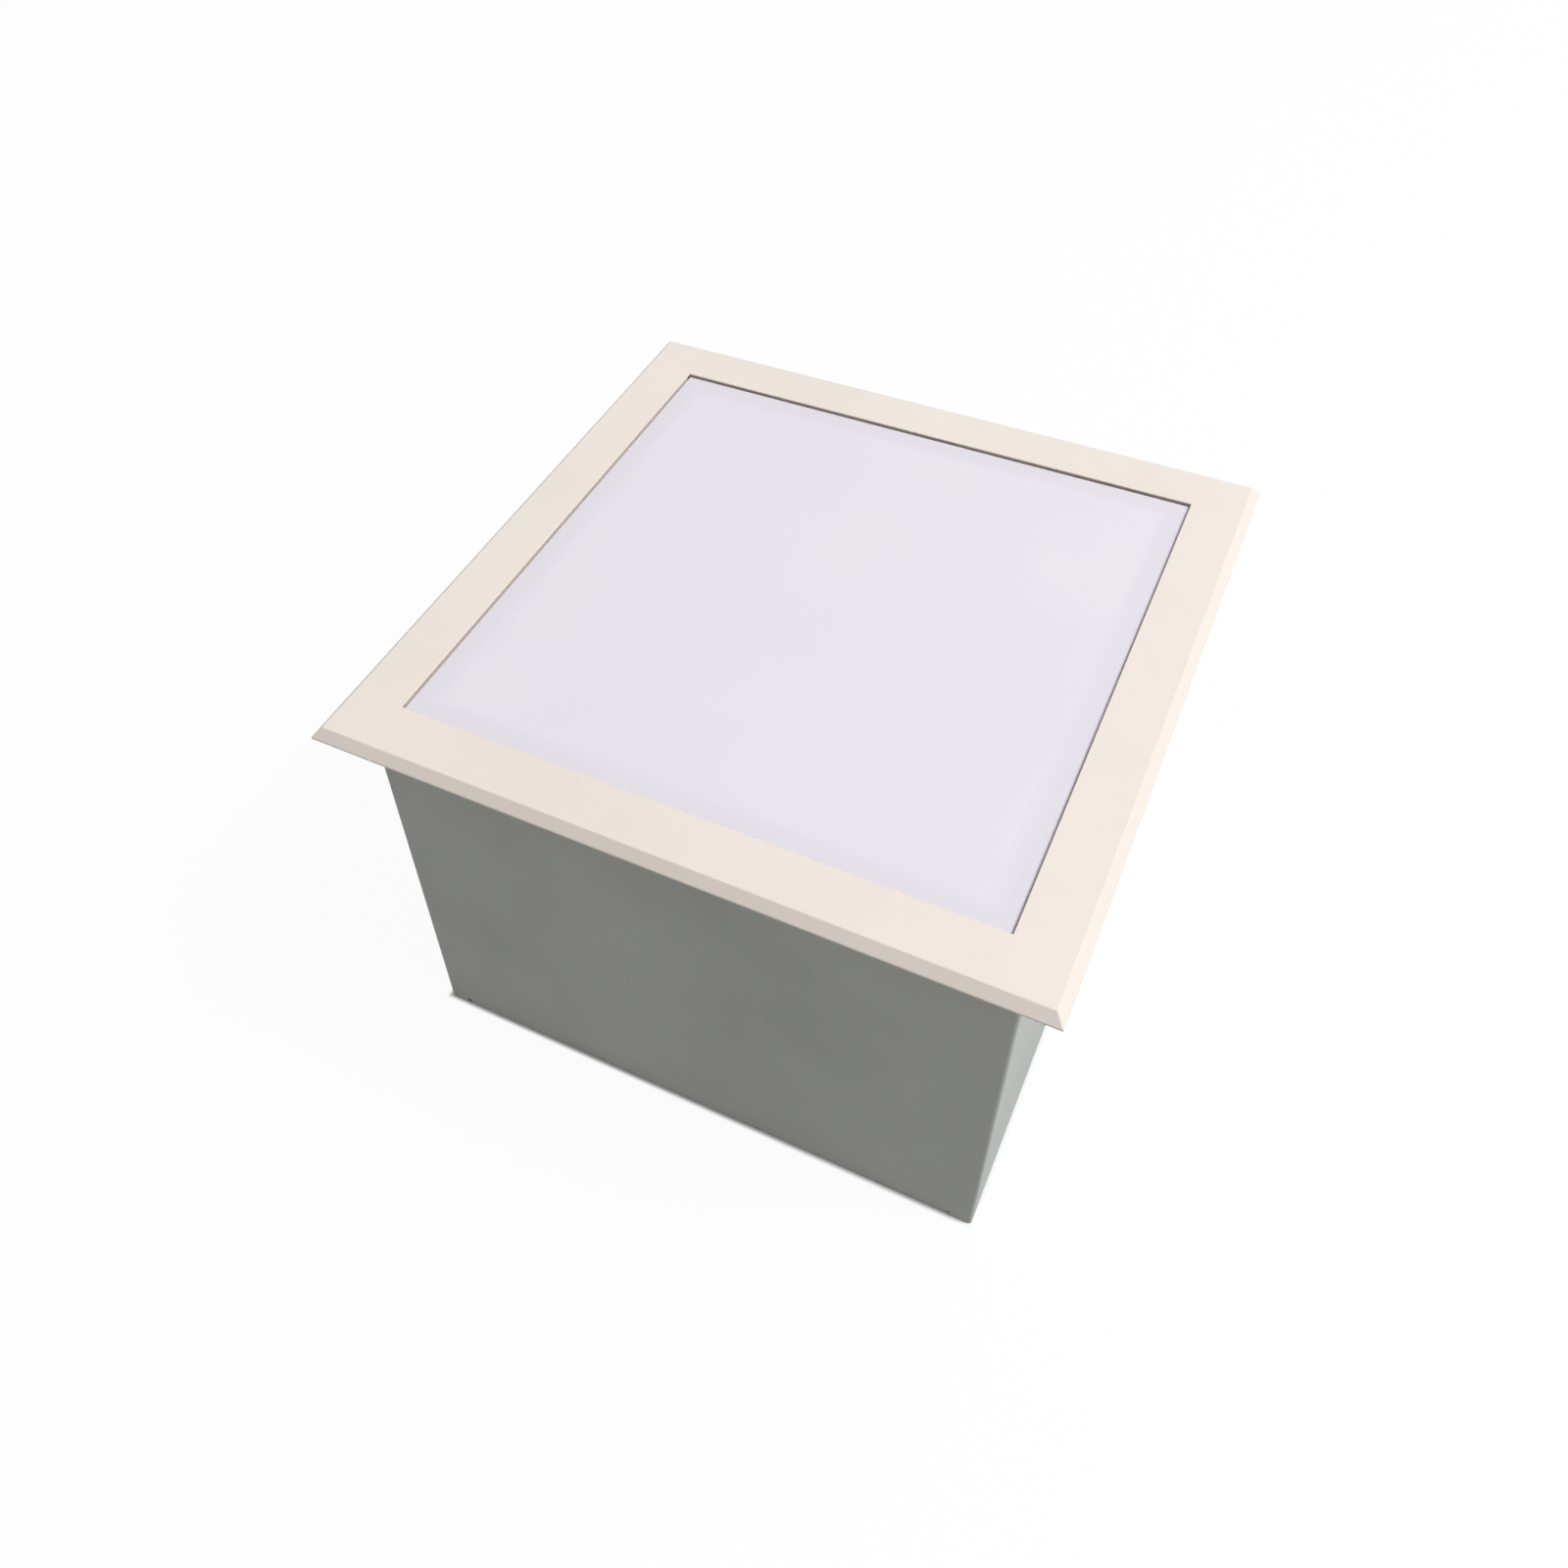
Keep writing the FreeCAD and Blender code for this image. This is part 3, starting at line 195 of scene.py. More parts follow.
# %% Galvanised sheet
def galvanised(name, spangle_mm=11, warp_mm=4):
    """Hot-dipped zinc: grains of spangle that differ a little in tone and gloss."""
    material, tree, shader, place = start_finish(name, {"Metallic": 1.0})
    warp = add_node(tree, "TexNoise", {"Scale": 1 / (0.8 * spangle_mm * MM), "Detail": 1.0},
                    {"Vector": place})
    bent = add_node(tree, "VectorMath", {"operation": "MULTIPLY_ADD", 1: (warp_mm * MM,) * 3},
                    {0: warp.outputs[1], 2: place})
    grain = add_node(tree, "TexVoronoi", {"Scale": 1 / (spangle_mm * MM)}, {"Vector": bent})
    value = add_node(tree, "SeparateColor", {}, {0: grain.outputs["Color"]})
    mix = add_node(tree, "Mix", {"data_type": "RGBA", 6: linear("#B2B5B6"), 7: linear("#C6C8C8")},
                   {0: value})
    gloss = add_node(tree, "MapRange", {"To Min": 0.34, "To Max": 0.48},
                     {"Value": value.outputs[1]})
    edge = add_node(tree, "Bevel", {"samples": 4, "Radius": 0.3 * MM})
    wire(tree, shader, mix.outputs[2], gloss, edge)
    return material


# Collar and blade: a patchwork of paler and darker grey that shifts as one walks by.
galvanised_sheet = galvanised("hot_dipped_galvanised_steel")
print("zinc finish:", galvanised_sheet.name)

# %% [markdown]
# Screws, the shaft and the lever are bright zinc plate, a thin, even, slightly blue
# metal. The rails inside are anodised aluminium, whiter and duller, with faint lines
# drawn along the bar by the extrusion die. Both are the same tree: a fine noise that
# moves tone and roughness a little. Stretching the noise a hundred times along one axis
# turns specks into drawn lines, so a rail along X and one along Y need a finish each.

# %% Plated and extruded metal
def metal(name, light, dark, roughness, grain_mm, stretch):
    """Metal with fine marks, drawn out along an axis where it was extruded."""
    material, tree, shader, place = start_finish(name, {"Metallic": 1.0})
    turned = add_node(tree, "Mapping", {"Scale": stretch}, {"Vector": place})
    marks = add_node(tree, "TexNoise", {"Scale": 1 / (grain_mm * MM), "Detail": 4.0},
                     {"Vector": turned})
    mix = add_node(tree, "Mix", {"data_type": "RGBA", 6: linear(dark), 7: linear(light)},
                   {0: marks})
    gloss = add_node(tree, "MapRange", {"To Min": roughness - 0.08, "To Max": roughness + 0.08},
                     {"Value": marks})
    edge = add_node(tree, "Bevel", {"samples": 4, "Radius": 0.25 * MM})
    bump = add_node(tree, "Bump", {"Strength": 0.2, "Distance": 0.02 * MM},
                    {"Height": marks, "Normal": edge})
    wire(tree, shader, mix.outputs[2], gloss, bump)
    return material


# Fasteners, shaft and lever: bright and faintly blue, with crisp lights on every round.
zinc_plate = metal("bright_zinc_plate", "#C9CDD0", "#B4B9BD", 0.30, 1.2, (1, 1, 1))
# Rivets: whiter and softer, so the small domes read as dull dots on the zinc.
rivet_metal = metal("bare_aluminium_rivet", "#CDCFD0", "#BCBEC0", 0.38, 0.9, (1, 1, 1))
# Rails: a silky white metal whose highlight is drawn out across the fine lines.
alu_along_x = metal("anodised_aluminium_along_x", "#C8CACC", "#BABCBE", 0.38, 0.8, (0.01, 1, 1))
alu_along_y = metal("anodised_aluminium_along_y", "#C8CACC", "#BABCBE", 0.38, 0.8, (1, 0.01, 1))
print("metal finishes:", zinc_plate.name, rivet_metal.name, alu_along_x.name, alu_along_y.name)

# %% [markdown]
# What is left is matt: closed-cell foam, moulded nylon, cured potting compound and the
# filter's glass fibre paper. None of them mirrors the room, so what the eye gets is
# grain. One function serves them all, with a grain as wide as the foam's cells or the
# paper's fibres and a bump as deep. Foam cells are really under 0.5 mm, which would
# melt into one tone in a picture, so they are drawn a little coarser.

# %% Foam, nylon, compound and paper
def matt(name, light, dark, roughness, grain_mm, depth_mm):
    """A matt solid with a fine grain: foam, moulded plastic, cured compound or paper."""
    material, tree, shader, place = start_finish(
        name, {"Roughness": roughness, "IOR": 1.5, "Specular IOR Level": 0.3})
    grain = add_node(tree, "TexNoise", {"Scale": 1 / (grain_mm * MM), "Detail": 5.0},
                     {"Vector": place})
    mix = add_node(tree, "Mix", {"data_type": "RGBA", 6: linear(dark), 7: linear(light)},
                   {0: grain})
    bump = add_node(tree, "Bump", {"Strength": 0.5, "Distance": depth_mm * MM}, {"Height": grain})
    wire(tree, shader, mix.outputs[2], None, bump)
    return material


# Seals, strips and cords: dark and lightless foam. On the strip round the screen this dark
# grey is partly painted shade, so the shaded gap round the screen shows as one soft line.
foam_grey = matt("closed_cell_foam_grey", "#565658", "#3E3E41", 0.85, 0.6, 0.15)
# The filter's gasket: a pale, soft bead.
foam_white = matt("closed_cell_foam_white", "#E2E1DC", "#D4D3CE", 0.85, 0.6, 0.15)
# Bushes: near black, with a faint sheen on their moulded rounds.
nylon = matt("moulded_black_nylon", "#2A2A2C", "#222224", 0.45, 0.8, 0.03)
# Cured compound: cream, smoother than the rest and slightly rippled where it ran.
compound = matt("cured_potting_compound", "#E6E5DC", "#DAD9D0", 0.35, 6.0, 0.1)
# Filter paper: the whitest and most matt thing inside.
paper = matt("glass_fibre_paper", "#F4F4F2", "#EAEAE7", 0.9, 0.7, 0.05)
print("matt finishes:", foam_grey.name, foam_white.name, nylon.name, compound.name, paper.name)

# %% [markdown]
# The screen is a close-woven white membrane that spreads the air. It has next to no
# gloss, and a slightly lilac white next to the warm frame. A cooler, darker band of
# painted shade runs round the edge: it stands for the light that the rail keeps from
# coming through from behind, and for the shade under the frame's lip. The band is
# worked out from the distance to the middle, the larger of the two plan coordinates,
# which makes a square without any drawing. The real weave is about 0.3 mm, too fine
# for a picture, so its bump is drawn three times as coarse.

# %% Screen cloth finish
def screen_cloth_finish(shade_band_start_mm=-7, shade_band_end_mm=11, weave_mm=0.9):
    """Close-woven white membrane, with a band of painted shade, cooler and darker, where the rail backs it."""
    material, tree, shader, place = start_finish(
        "taut_white_membrane", {"Roughness": 0.7, "IOR": 1.45, "Specular IOR Level": 0.2})
    band = add_node(tree, "MapRange", {"interpolation_type": "SMOOTHSTEP",
                                       "From Min": rail_inner + shade_band_start_mm * MM,
                                       "From Max": rail_inner + shade_band_end_mm * MM},
                    {"Value": plan_reach(tree, place)})
    cloud = add_node(tree, "TexNoise", {"Scale": 1 / (180 * MM), "Detail": 2.0}, {"Vector": place})
    tint = add_node(tree, "Mix", {"data_type": "RGBA", 6: linear("#F4EBEF"), 7: linear("#EAE7EF")},
                    {0: cloud})
    # Painted shade: the band round the edge is mixed towards a darker, cooler white.
    rail = add_node(tree, "Mix", {"data_type": "RGBA", 7: linear("#E9E4EB")},
                    {0: band, 6: tint.outputs[2]})
    weave = add_node(tree, "TexNoise", {"Scale": 1 / (weave_mm * MM), "Detail": 1.0},
                     {"Vector": place})
    bump = add_node(tree, "Bump", {"Strength": 0.25, "Distance": 0.03 * MM}, {"Height": weave})
    wire(tree, shader, rail.outputs[2], None, bump)
    return material


# The screen: a cool white with no sheen, which the warm frame sets off, and a band of painted shade at its edge.
membrane_finish = screen_cloth_finish()
print("cloth finish:", membrane_finish.name)

# %% [markdown]
# Most of the model's pieces have their right shape already and only need their finish.
# The record names a slot for each piece, so a table from slot to finish dresses them
# all in one loop. The aluminium rails take the one of the two finishes whose drawn
# lines run along them.

# %% Finishes onto the model's pieces
FINISHES = {
    "casing_paint": casing_paint, "frame_paint": frame_paint, "white_powder_coat": guard_paint,
    "galvanised_sheet": galvanised_sheet, "zinc_plated_steel": zinc_plate,
    "screen_membrane": membrane_finish, "glass_fibre_paper": paper, "potting_compound": compound,
    "seal_foam": foam_grey, "filter_gasket_foam": foam_white, "bush_plastic": nylon,
}
for part in frame["record"]["subparts"]:
    along_y = part["node"].endswith(("_left", "_right"))
    aluminium = alu_along_y if along_y else alu_along_x
    mesh = nodes[part["node"]].data
    mesh.materials.clear()
    mesh.materials.append(FINISHES.get(part["material_slot"], aluminium))

# %% [markdown]
# Every new piece ends the same way: its bmesh becomes a mesh, the mesh an object, the
# object rides on a body and shows its finish. Curved faces should shade smoothly and real
# corners stay crisp, so all faces are set smooth and each edge sharper than 28 degrees
# is marked sharp. A wide flat beside a narrow rounding would take on its tilt and look
# dished, so the line between such a pair is marked sharp too. The object stays at the
# origin with its place in its mesh. Where a piece has rounded edges, the bevel operator
# makes them first, always with the same settings.

# %% From a bmesh to a piece
CRISP = math.radians(28)
LEVEL = math.radians(1)
WIDER = 12


def is_sharp(edge):
    """True for a real corner, and for the line where a flat meets its rounding."""
    if len(edge.link_faces) != 2:
        return False
    small, large = sorted(face.calc_area() for face in edge.link_faces)
    angle = edge.calc_face_angle()
    return angle > CRISP or (angle > LEVEL and large > WIDER * small)


def round_edges(bm, edges, radius, segments):
    """Bevels edges to a round of so many segments."""
    bmesh.ops.bevel(bm, geom=edges, offset=radius, segments=segments, profile=0.5,
                    affect="EDGES", material=-1)


def finish_piece(bm, name, material, body="base"):
    """A mesh object at the origin that rides on a body and shows one finish."""
    for face in bm.faces:
        face.smooth = True
    for edge in bm.edges:
        edge.smooth = not is_sharp(edge)
    mesh = bpy.data.meshes.new(name)
    bm.to_mesh(mesh)
    bm.free()
    mesh.materials.append(material)
    piece = bpy.data.objects.new(name, mesh)
    bpy.context.scene.collection.objects.link(piece)
    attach(piece, body)
    print("%s: %d faces on %s" % (name, len(mesh.polygons), body))
    return piece


# %% [markdown]
# Rivets, bushes, nuts and bolts are turned parts. A lathe in code is a spin: half of
# the outline, given as height and radius, goes once round the axis. The spin leaves a
# doubled seam and doubled points where the outline touches the axis, so doubles are
# merged first, and only then the normals are made to point outwards.

# %% A lathe
def lathe(outline, base, direction, steps):
    """A bmesh turned from heights and radii about an axis through base."""
    axis = Vector(direction).normalized()
    side = axis.orthogonal().normalized()
    base = Vector(base)
    bm = bmesh.new()
    verts = [bm.verts.new(base + axis * height + side * radius) for height, radius in outline]
    edges = [bm.edges.new(pair) for pair in zip(verts, verts[1:])]
    bmesh.ops.spin(bm, geom=verts + edges, cent=base, axis=axis, angle=2 * math.pi, steps=steps,
                   use_merge=True)
    bmesh.ops.remove_doubles(bm, verts=bm.verts, dist=MERGE)
    bmesh.ops.recalc_face_normals(bm, faces=bm.faces)
    return bm


def repeat(bm, moves):
    """Adds a moved copy of all that the bmesh holds for each matrix."""
    first = bm.verts[:] + bm.edges[:] + bm.faces[:]
    for move in moves:
        made = bmesh.ops.duplicate(bm, geom=first)["geom"]
        bmesh.ops.transform(bm, matrix=move,
                            verts=[item for item in made if isinstance(item, bmesh.types.BMVert)])


def thread(start, end, crest, root, pitch):
    """Outline of a thread drawn as rings, which reads the same as a helix at this size."""
    turns = max(1, round((end - start) / pitch))
    step = (end - start) / turns
    points = []
    for i in range(turns):
        points += [(start + i * step, root), (start + (i + 0.5) * step, crest)]
    return points + [(end, root)]


print("lathe, repeat and thread are ready")

# %% [markdown]
# Holes that cross a curved wall, and the cross in a screw's head, are cut as they are
# in the workshop: with a tool. The tool is a bmesh of its own, a Boolean modifier takes
# it away from the piece, and the result becomes the piece's mesh, so that no modifier
# and no tool are left behind.

# %% A cutter
def cut(piece, tool_bm):
    """Takes a tool's volume away from a piece and keeps the result as its mesh."""
    mesh = bpy.data.meshes.new("tool")
    tool_bm.to_mesh(mesh)
    tool_bm.free()
    tool = bpy.data.objects.new("tool", mesh)
    bpy.context.scene.collection.objects.link(tool)
    cutter = piece.modifiers.new("cut", "BOOLEAN")
    cutter.operation = "DIFFERENCE"
    cutter.solver = "EXACT"
    cutter.object = tool
    graph = bpy.context.evaluated_depsgraph_get()
    result = bpy.data.meshes.new_from_object(piece.evaluated_get(graph))
    piece.modifiers.clear()
    bm = bmesh.new()
    bm.from_mesh(result)
    bmesh.ops.remove_doubles(bm, verts=bm.verts, dist=MERGE)
    bmesh.ops.dissolve_degenerate(bm, edges=bm.edges, dist=MERGE)
    bm.to_mesh(result)
    bm.free()
    piece.data = result
    bpy.data.objects.remove(tool)
    print("%s: cut, %d faces left" % (piece.name, len(result.polygons)))


# %% [markdown]
# Two cloths are pulled over the screen's rails, one on each face, and down the sides
# into a groove. A simulation would only find again what a taut cloth is: flat, with a
# small round at the edge and a sag of half a millimetre. So the cloth is an open box,
# its rim bevelled to the round, its face subdivided and let down a little in the
# middle. Solidify then gives the 0.4 mm thickness. The flat size that the cloth was
# cut to is the face plus what goes down on both sides.

# %% Screen cloths
CLOTH = 0.4 * MM
CLOTH_ROUND = 1.2 * MM
CLOTH_SAG = 0.6 * MM
CLOTH_CUTS = 40
CLOTH_INSET = 2 * MM
LEVEL_NORMAL = 0.999


def screen_cloth(name, node, up):
    """Cloth pulled over one face of the screen and down its sides to the groove."""
    low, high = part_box(node)
    half = high.x
    bm = bmesh.new()
    bmesh.ops.create_cube(bm, size=1.0)
    bmesh.ops.scale(bm, vec=(2 * half, 2 * half, high.z - low.z), verts=bm.verts)
    bmesh.ops.translate(bm, vec=(0, 0, (low.z + high.z) / 2), verts=bm.verts)
    open_side = [f for f in bm.faces if f.normal.z * up < -LEVEL_NORMAL]
    bmesh.ops.delete(bm, geom=open_side, context="FACES_ONLY")
    face_z = high.z if up > 0 else low.z
    rim = [e for e in bm.edges if all(abs(v.co.z - face_z) < NEAR for v in e.verts)]
    round_edges(bm, rim, CLOTH_ROUND, 4)
    flat = [f for f in bm.faces if f.normal.z * up > LEVEL_NORMAL]
    bmesh.ops.inset_region(bm, faces=flat, thickness=CLOTH_INSET)
    flat = [f for f in bm.faces if f.normal.z * up > LEVEL_NORMAL and f.calc_area() > half * half]
    edges = list({e for f in flat for e in f.edges})
    bmesh.ops.subdivide_edges(bm, edges=edges, cuts=CLOTH_CUTS, use_grid_fill=True)
    for v in bm.verts:
        reach = max(abs(v.co.x), abs(v.co.y)) / rail_inner
        if reach < 1 and abs(v.co.z - face_z) < NEAR:
            v.co.z -= up * CLOTH_SAG * (1 - reach ** 2)
    bmesh.ops.recalc_face_normals(bm, faces=bm.faces)
    piece = finish_piece(bm, name, membrane_finish)
    wall = piece.modifiers.new("cloth_thickness", "SOLIDIFY")
    wall.thickness = CLOTH
    wall.offset = -1
    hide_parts(node)


screen_cloth("screen_cloth_outer", "membrane_outer", 1)
screen_cloth("screen_cloth_inner", "membrane_inner", -1)

# %% [markdown]
# The strip round the screen, the cords in its grooves, the foam under it and the
# filter's gasket are all square rings. A square ring is a spin too, one of four steps:
# its outline stands on the diagonal, where the corners are, and each quarter turn draws
# one straight side with a mitre at its end. The outline is closed, so there are no
# poles. Distances along the diagonal are longer by the root of two.

# %% Square rings
def square_ring(outline):
    """A ring with mitred corners, from half widths and heights of a closed outline."""
    bm = bmesh.new()
    verts = [bm.verts.new((half, half, z)) for half, z in outline]
    edges = [bm.edges.new(pair) for pair in zip(verts, verts[1:] + verts[:1])]
    bmesh.ops.spin(bm, geom=verts + edges, cent=(0, 0, 0), axis=(0, 0, 1), angle=2 * math.pi,
                   steps=4, use_merge=True)
    bmesh.ops.remove_doubles(bm, verts=bm.verts, dist=MERGE)
    bmesh.ops.recalc_face_normals(bm, faces=bm.faces)
    return bm


def inner_half(node):
    """Half the inner width of a square ring among the model's pieces."""
    return min(max(abs(v.co.x), abs(v.co.y)) for v in nodes[node].data.vertices)


def ring_piece(name, node, material, shape):
    """A square ring in the space of a node, with its section drawn by shape(u, v)."""
    low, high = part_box(node)
    width = high.x - inner_half(node)
    outline = [(high.x - width * (1 - u), low.z + (high.z - low.z) * v) for u, v in shape]
    piece = finish_piece(square_ring(outline), name, material)
    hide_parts(node)
    return piece


# %% [markdown]
# Each ring needs a section. Foam that is pressed on one side and free on the other
# bulges: a flat base and a crowned top. The strip that grips the screen has three fins
# on its free side. The cord in the groove is round with small ribs, so that it bites.
# All are drawn in a unit square, from inner to outer side and from bottom to top.

# %% Sections of strips, foam and cords
def crowned(points=9, base=0.55):
    """Flat base and a rounded crown."""
    arc = [math.pi * i / (points - 1) for i in range(points)]
    return [(0, 0), (1, 0)] + [(0.5 + 0.5 * math.cos(a), base + (1 - base) * math.sin(a))
                               for a in arc]


def finned(fins=3, depth=0.35):
    """A strip that is flat inside and has pointed fins on its outer side."""
    points = [(0, 1), (0, 0), (1 - depth, 0)]
    for i in range(fins):
        points += [(1, (i + 0.5) / fins), (1 - depth, (i + 1) / fins)]
    return points


def ribbed(ribs=8, depth=0.06):
    """A round cord with low ribs along it."""
    points = []
    for i in range(2 * ribs):
        angle, radius = math.pi * i / ribs, 0.5 - depth * (i % 2)
        points.append((0.5 + radius * math.cos(angle), 0.5 + radius * math.sin(angle)))
    return points


# Partly painted shade: the strip's dark grey darkens the line of the gap round the screen.
ring_piece("screen_edge_strip", "screen_seal", foam_grey, finned())
ring_piece("spline_cord_outer", "spline_outer", foam_grey, ribbed())
ring_piece("spline_cord_inner", "spline_inner", foam_grey, ribbed())
ring_piece("ledge_foam_strip", "ledge_seal", foam_grey, crowned(base=0.7))
ring_piece("filter_gasket_bead", "filter_gasket", foam_white,
           crowned(base=0.6))

# %% [markdown]
# The face frame is four extruded bars, mitred, welded at the corners and ground flush
# before painting, so no joint shows in the paint. The model keeps the bars apart, and
# hairlines would show where they meet. A square ring is the same frame in one skin: the
# bar's section goes once round. The section is that of the model's bars, with one thing
# more: round the opening the cover ends in a thin lip with a shallow recess under it,
# where the screen slips in, and from the front the recess reads as a dark line. The
# edges that a hand can touch are then bevelled to the round that thick paint leaves.

# %% Welded face frame
BAR_WALL = 1.6 * MM
BEVEL_WIDE, BEVEL_TALL, RIM_TALL = 7.3 * MM, 8.2 * MM, 1.5 * MM
SKIRT_HALF, SKIRT_TALL = 266.4 * MM, 14 * MM
LIP_SHEET, LIP_REACH = 1.2 * MM, 1.3 * MM
RECESS_DEPTH, RECESS_TALL = 1.2 * MM, 9 * MM
PAINTED_EDGE = 0.5 * MM


def touched(vert):
    """True for a corner of the section that shows from outside: cover, bevel, rim or lip."""
    half = max(abs(vert.co.x), abs(vert.co.y))
    on_lip = half < half_opening - NEAR and vert.co.z > lip_foot - NEAR
    return vert.co.z > top_z - NEAR or half > half_face - NEAR or on_lip


ledge_z, ledge_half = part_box("ledge_seal")[0].z, inner_half("face_rail_front")
under, foot, crest = top_z - BAR_WALL, top_z - BEVEL_TALL, half_face - BEVEL_WIDE
rim, lip_foot = foot - RIM_TALL, top_z - LIP_SHEET
slope = math.atan2(BEVEL_TALL, BEVEL_WIDE)
cover = [(half_opening - LIP_REACH, top_z), (crest, top_z), (half_face, foot), (half_face, rim),
         (half_face - BAR_WALL, rim),
         (half_face - BAR_WALL, foot - BAR_WALL * math.tan((math.pi / 2 - slope) / 2)),
         (crest - BAR_WALL * math.tan(slope / 2), under)]
skirt = [(SKIRT_HALF, under), (SKIRT_HALF, under - SKIRT_TALL),
         (SKIRT_HALF - BAR_WALL, under - SKIRT_TALL), (SKIRT_HALF - BAR_WALL, under)]
ledge = [(half_opening + BAR_WALL, under), (half_opening + BAR_WALL, ledge_z - BAR_WALL),
         (ledge_half, ledge_z - BAR_WALL), (ledge_half, ledge_z), (half_opening, ledge_z)]
recess = [(half_opening, top_z - RECESS_TALL), (half_opening + RECESS_DEPTH, top_z - RECESS_TALL),
          (half_opening + RECESS_DEPTH, lip_foot), (half_opening - LIP_REACH, lip_foot)]
bm = square_ring(cover + skirt + ledge + recess)
seen_edges = [e for e in bm.edges if all(touched(v) for v in e.verts)
              and e.calc_face_angle() > CRISP]
round_edges(bm, seen_edges, PAINTED_EDGE, 4)
open_edges = sum(not e.is_manifold for e in bm.edges)
print("frame: %d edges rounded, %d open" % (len(seen_edges), open_edges))
piece = finish_piece(bm, "welded_face_frame", frame_paint)
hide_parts(*["face_rail_" + side for side in SIDES])

# %% [markdown]
# The inlet collar is one sheet: a flange riveted to the box, a round spigot for the
# duct, and a raised bead that stops the duct's end. A roller swages the bead, so it is a
# smooth wave and no sharp ridge. The middle of the sheet is drawn as one line, with a
# quarter round at the flange and a cosine wave at the bead, and goes on the lathe.
# Solidify makes it a sheet, and the two holes for the shaft's bushes are drilled last.

# %% Inlet collar
COLLAR_SHEET = 1.2 * MM
BUSH_FLANGE = 2 * MM
BUSH_RADIUS = 8 * MM
BEAD_CREST = 123 * MM
BEAD_WIDTH = 3.4 * MM
BEAD_HEIGHT = 3 * MM
FLANGE_ROUND = 1.4 * MM
ROUND_STEPS, WAVE_STEPS, COLLAR_STEPS = 5, 12, 160

collar_low, collar_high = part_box("inlet_collar")
spigot_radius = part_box("shaft_bush_right")[1].x - BUSH_FLANGE
collar_length = collar_high.y - collar_low.y
middle = spigot_radius - COLLAR_SHEET / 2
bend = FLANGE_ROUND + COLLAR_SHEET / 2
outline = [(COLLAR_SHEET / 2, collar_high.x), (COLLAR_SHEET / 2, middle + bend)]
outline += [(COLLAR_SHEET / 2 + bend * (1 - math.cos(a)), middle + bend * (1 - math.sin(a)))
            for a in (math.pi / 2 * i / ROUND_STEPS for i in range(1, ROUND_STEPS + 1))]
outline += [(BEAD_CREST + t * BEAD_WIDTH,
             middle + BEAD_HEIGHT * 0.5 * (1 + math.cos(math.pi * t)))
            for t in (2 * i / WAVE_STEPS - 1 for i in range(WAVE_STEPS + 1))]
outline += [(collar_length, middle)]
collar_base = Vector((0, collar_low.y, pivot.z))
collar = finish_piece(lathe(outline, collar_base, Y_AXIS, COLLAR_STEPS), "spun_inlet_collar",
                      galvanised_sheet)
sheet = collar.modifiers.new("sheet_thickness", "SOLIDIFY")
sheet.thickness = COLLAR_SHEET
sheet.offset = 0
drill = lathe([(-collar_high.x, 0), (-collar_high.x, BUSH_RADIUS), (collar_high.x, BUSH_RADIUS),
               (collar_high.x, 0)], pivot, X_AXIS, 32)
cut(collar, drill)
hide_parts("inlet_collar")

# %% [markdown]
# Eight blind rivets hold the collar, and two more the damper's quadrant. A set rivet
# shows a low dome with a small pit where its pin broke off, and inside the box a
# bulged tail. Head, shank and tail are one turned outline, closed at both ends. The
# dome comes from a small function, because the screws' heads need one too.

# %% Blind rivets
RIVET_HEAD_RADIUS = 4 * MM
RIVET_RADIUS = 2 * MM
RIVET_HEAD = 1.4 * MM
RIVET_TAIL = 1.6 * MM
RIVET_TAIL_RADIUS = 2.8 * MM
PIT_RADIUS, PIT_FLOOR = 1.12 * MM, 0.56 * MM
COLLAR_RIVETS = 8


def dome(height, radius, rim, crown, steps=6):
    """Outline of a low dome: its rim starts at a share of the height, its crown is flat."""
    return [(height * (rim + (1 - rim) * math.sin(a)), radius * (crown + (1 - crown) * math.cos(a)))
            for a in (math.pi / 2 * i / steps for i in range(steps + 1))]


def rivet(point, outward, grip):
    """A set blind rivet whose head lies on point, through a grip behind it."""
    tail_end = -grip - RIVET_TAIL
    outline = [(tail_end, 0), (tail_end, RIVET_TAIL_RADIUS * 0.7),
               (tail_end + 0.3 * RIVET_TAIL, RIVET_TAIL_RADIUS), (-grip, RIVET_TAIL_RADIUS),
               (-grip, RIVET_RADIUS), (0, RIVET_RADIUS)]
    outline += dome(RIVET_HEAD, RIVET_HEAD_RADIUS, 0, 0.34)
    outline += [(RIVET_HEAD, PIT_RADIUS), (PIT_FLOOR, 0.9 * PIT_RADIUS), (PIT_FLOOR, 0)]
    return lathe(outline, point, outward, 24)


circle = (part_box("collar_rivets")[1].x - RIVET_HEAD_RADIUS) / math.cos(math.pi / COLLAR_RIVETS)
turns = [2 * math.pi * i / COLLAR_RIVETS for i in range(COLLAR_RIVETS)]
first = Vector((circle * math.cos(turns[1] / 2), collar_low.y + COLLAR_SHEET,
                pivot.z + circle * math.sin(turns[1] / 2)))
about_collar = [Matrix.Translation(pivot) @ Matrix.Rotation(turn, 4, "Y")
                @ Matrix.Translation(-pivot) for turn in turns[1:]]
bm = rivet(first, Y_AXIS, 2 * COLLAR_SHEET)
repeat(bm, about_collar)
piece = finish_piece(bm, "collar_blind_rivets", rivet_metal)
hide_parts("collar_rivets")
print("rivet circle %.1f mm" % (circle / MM))

# %% [markdown]
# The quadrant's two rivets sit on its foot. Their place comes from their box: the
# heads' edges are its top and bottom, and its low X side is the crown of the heads.

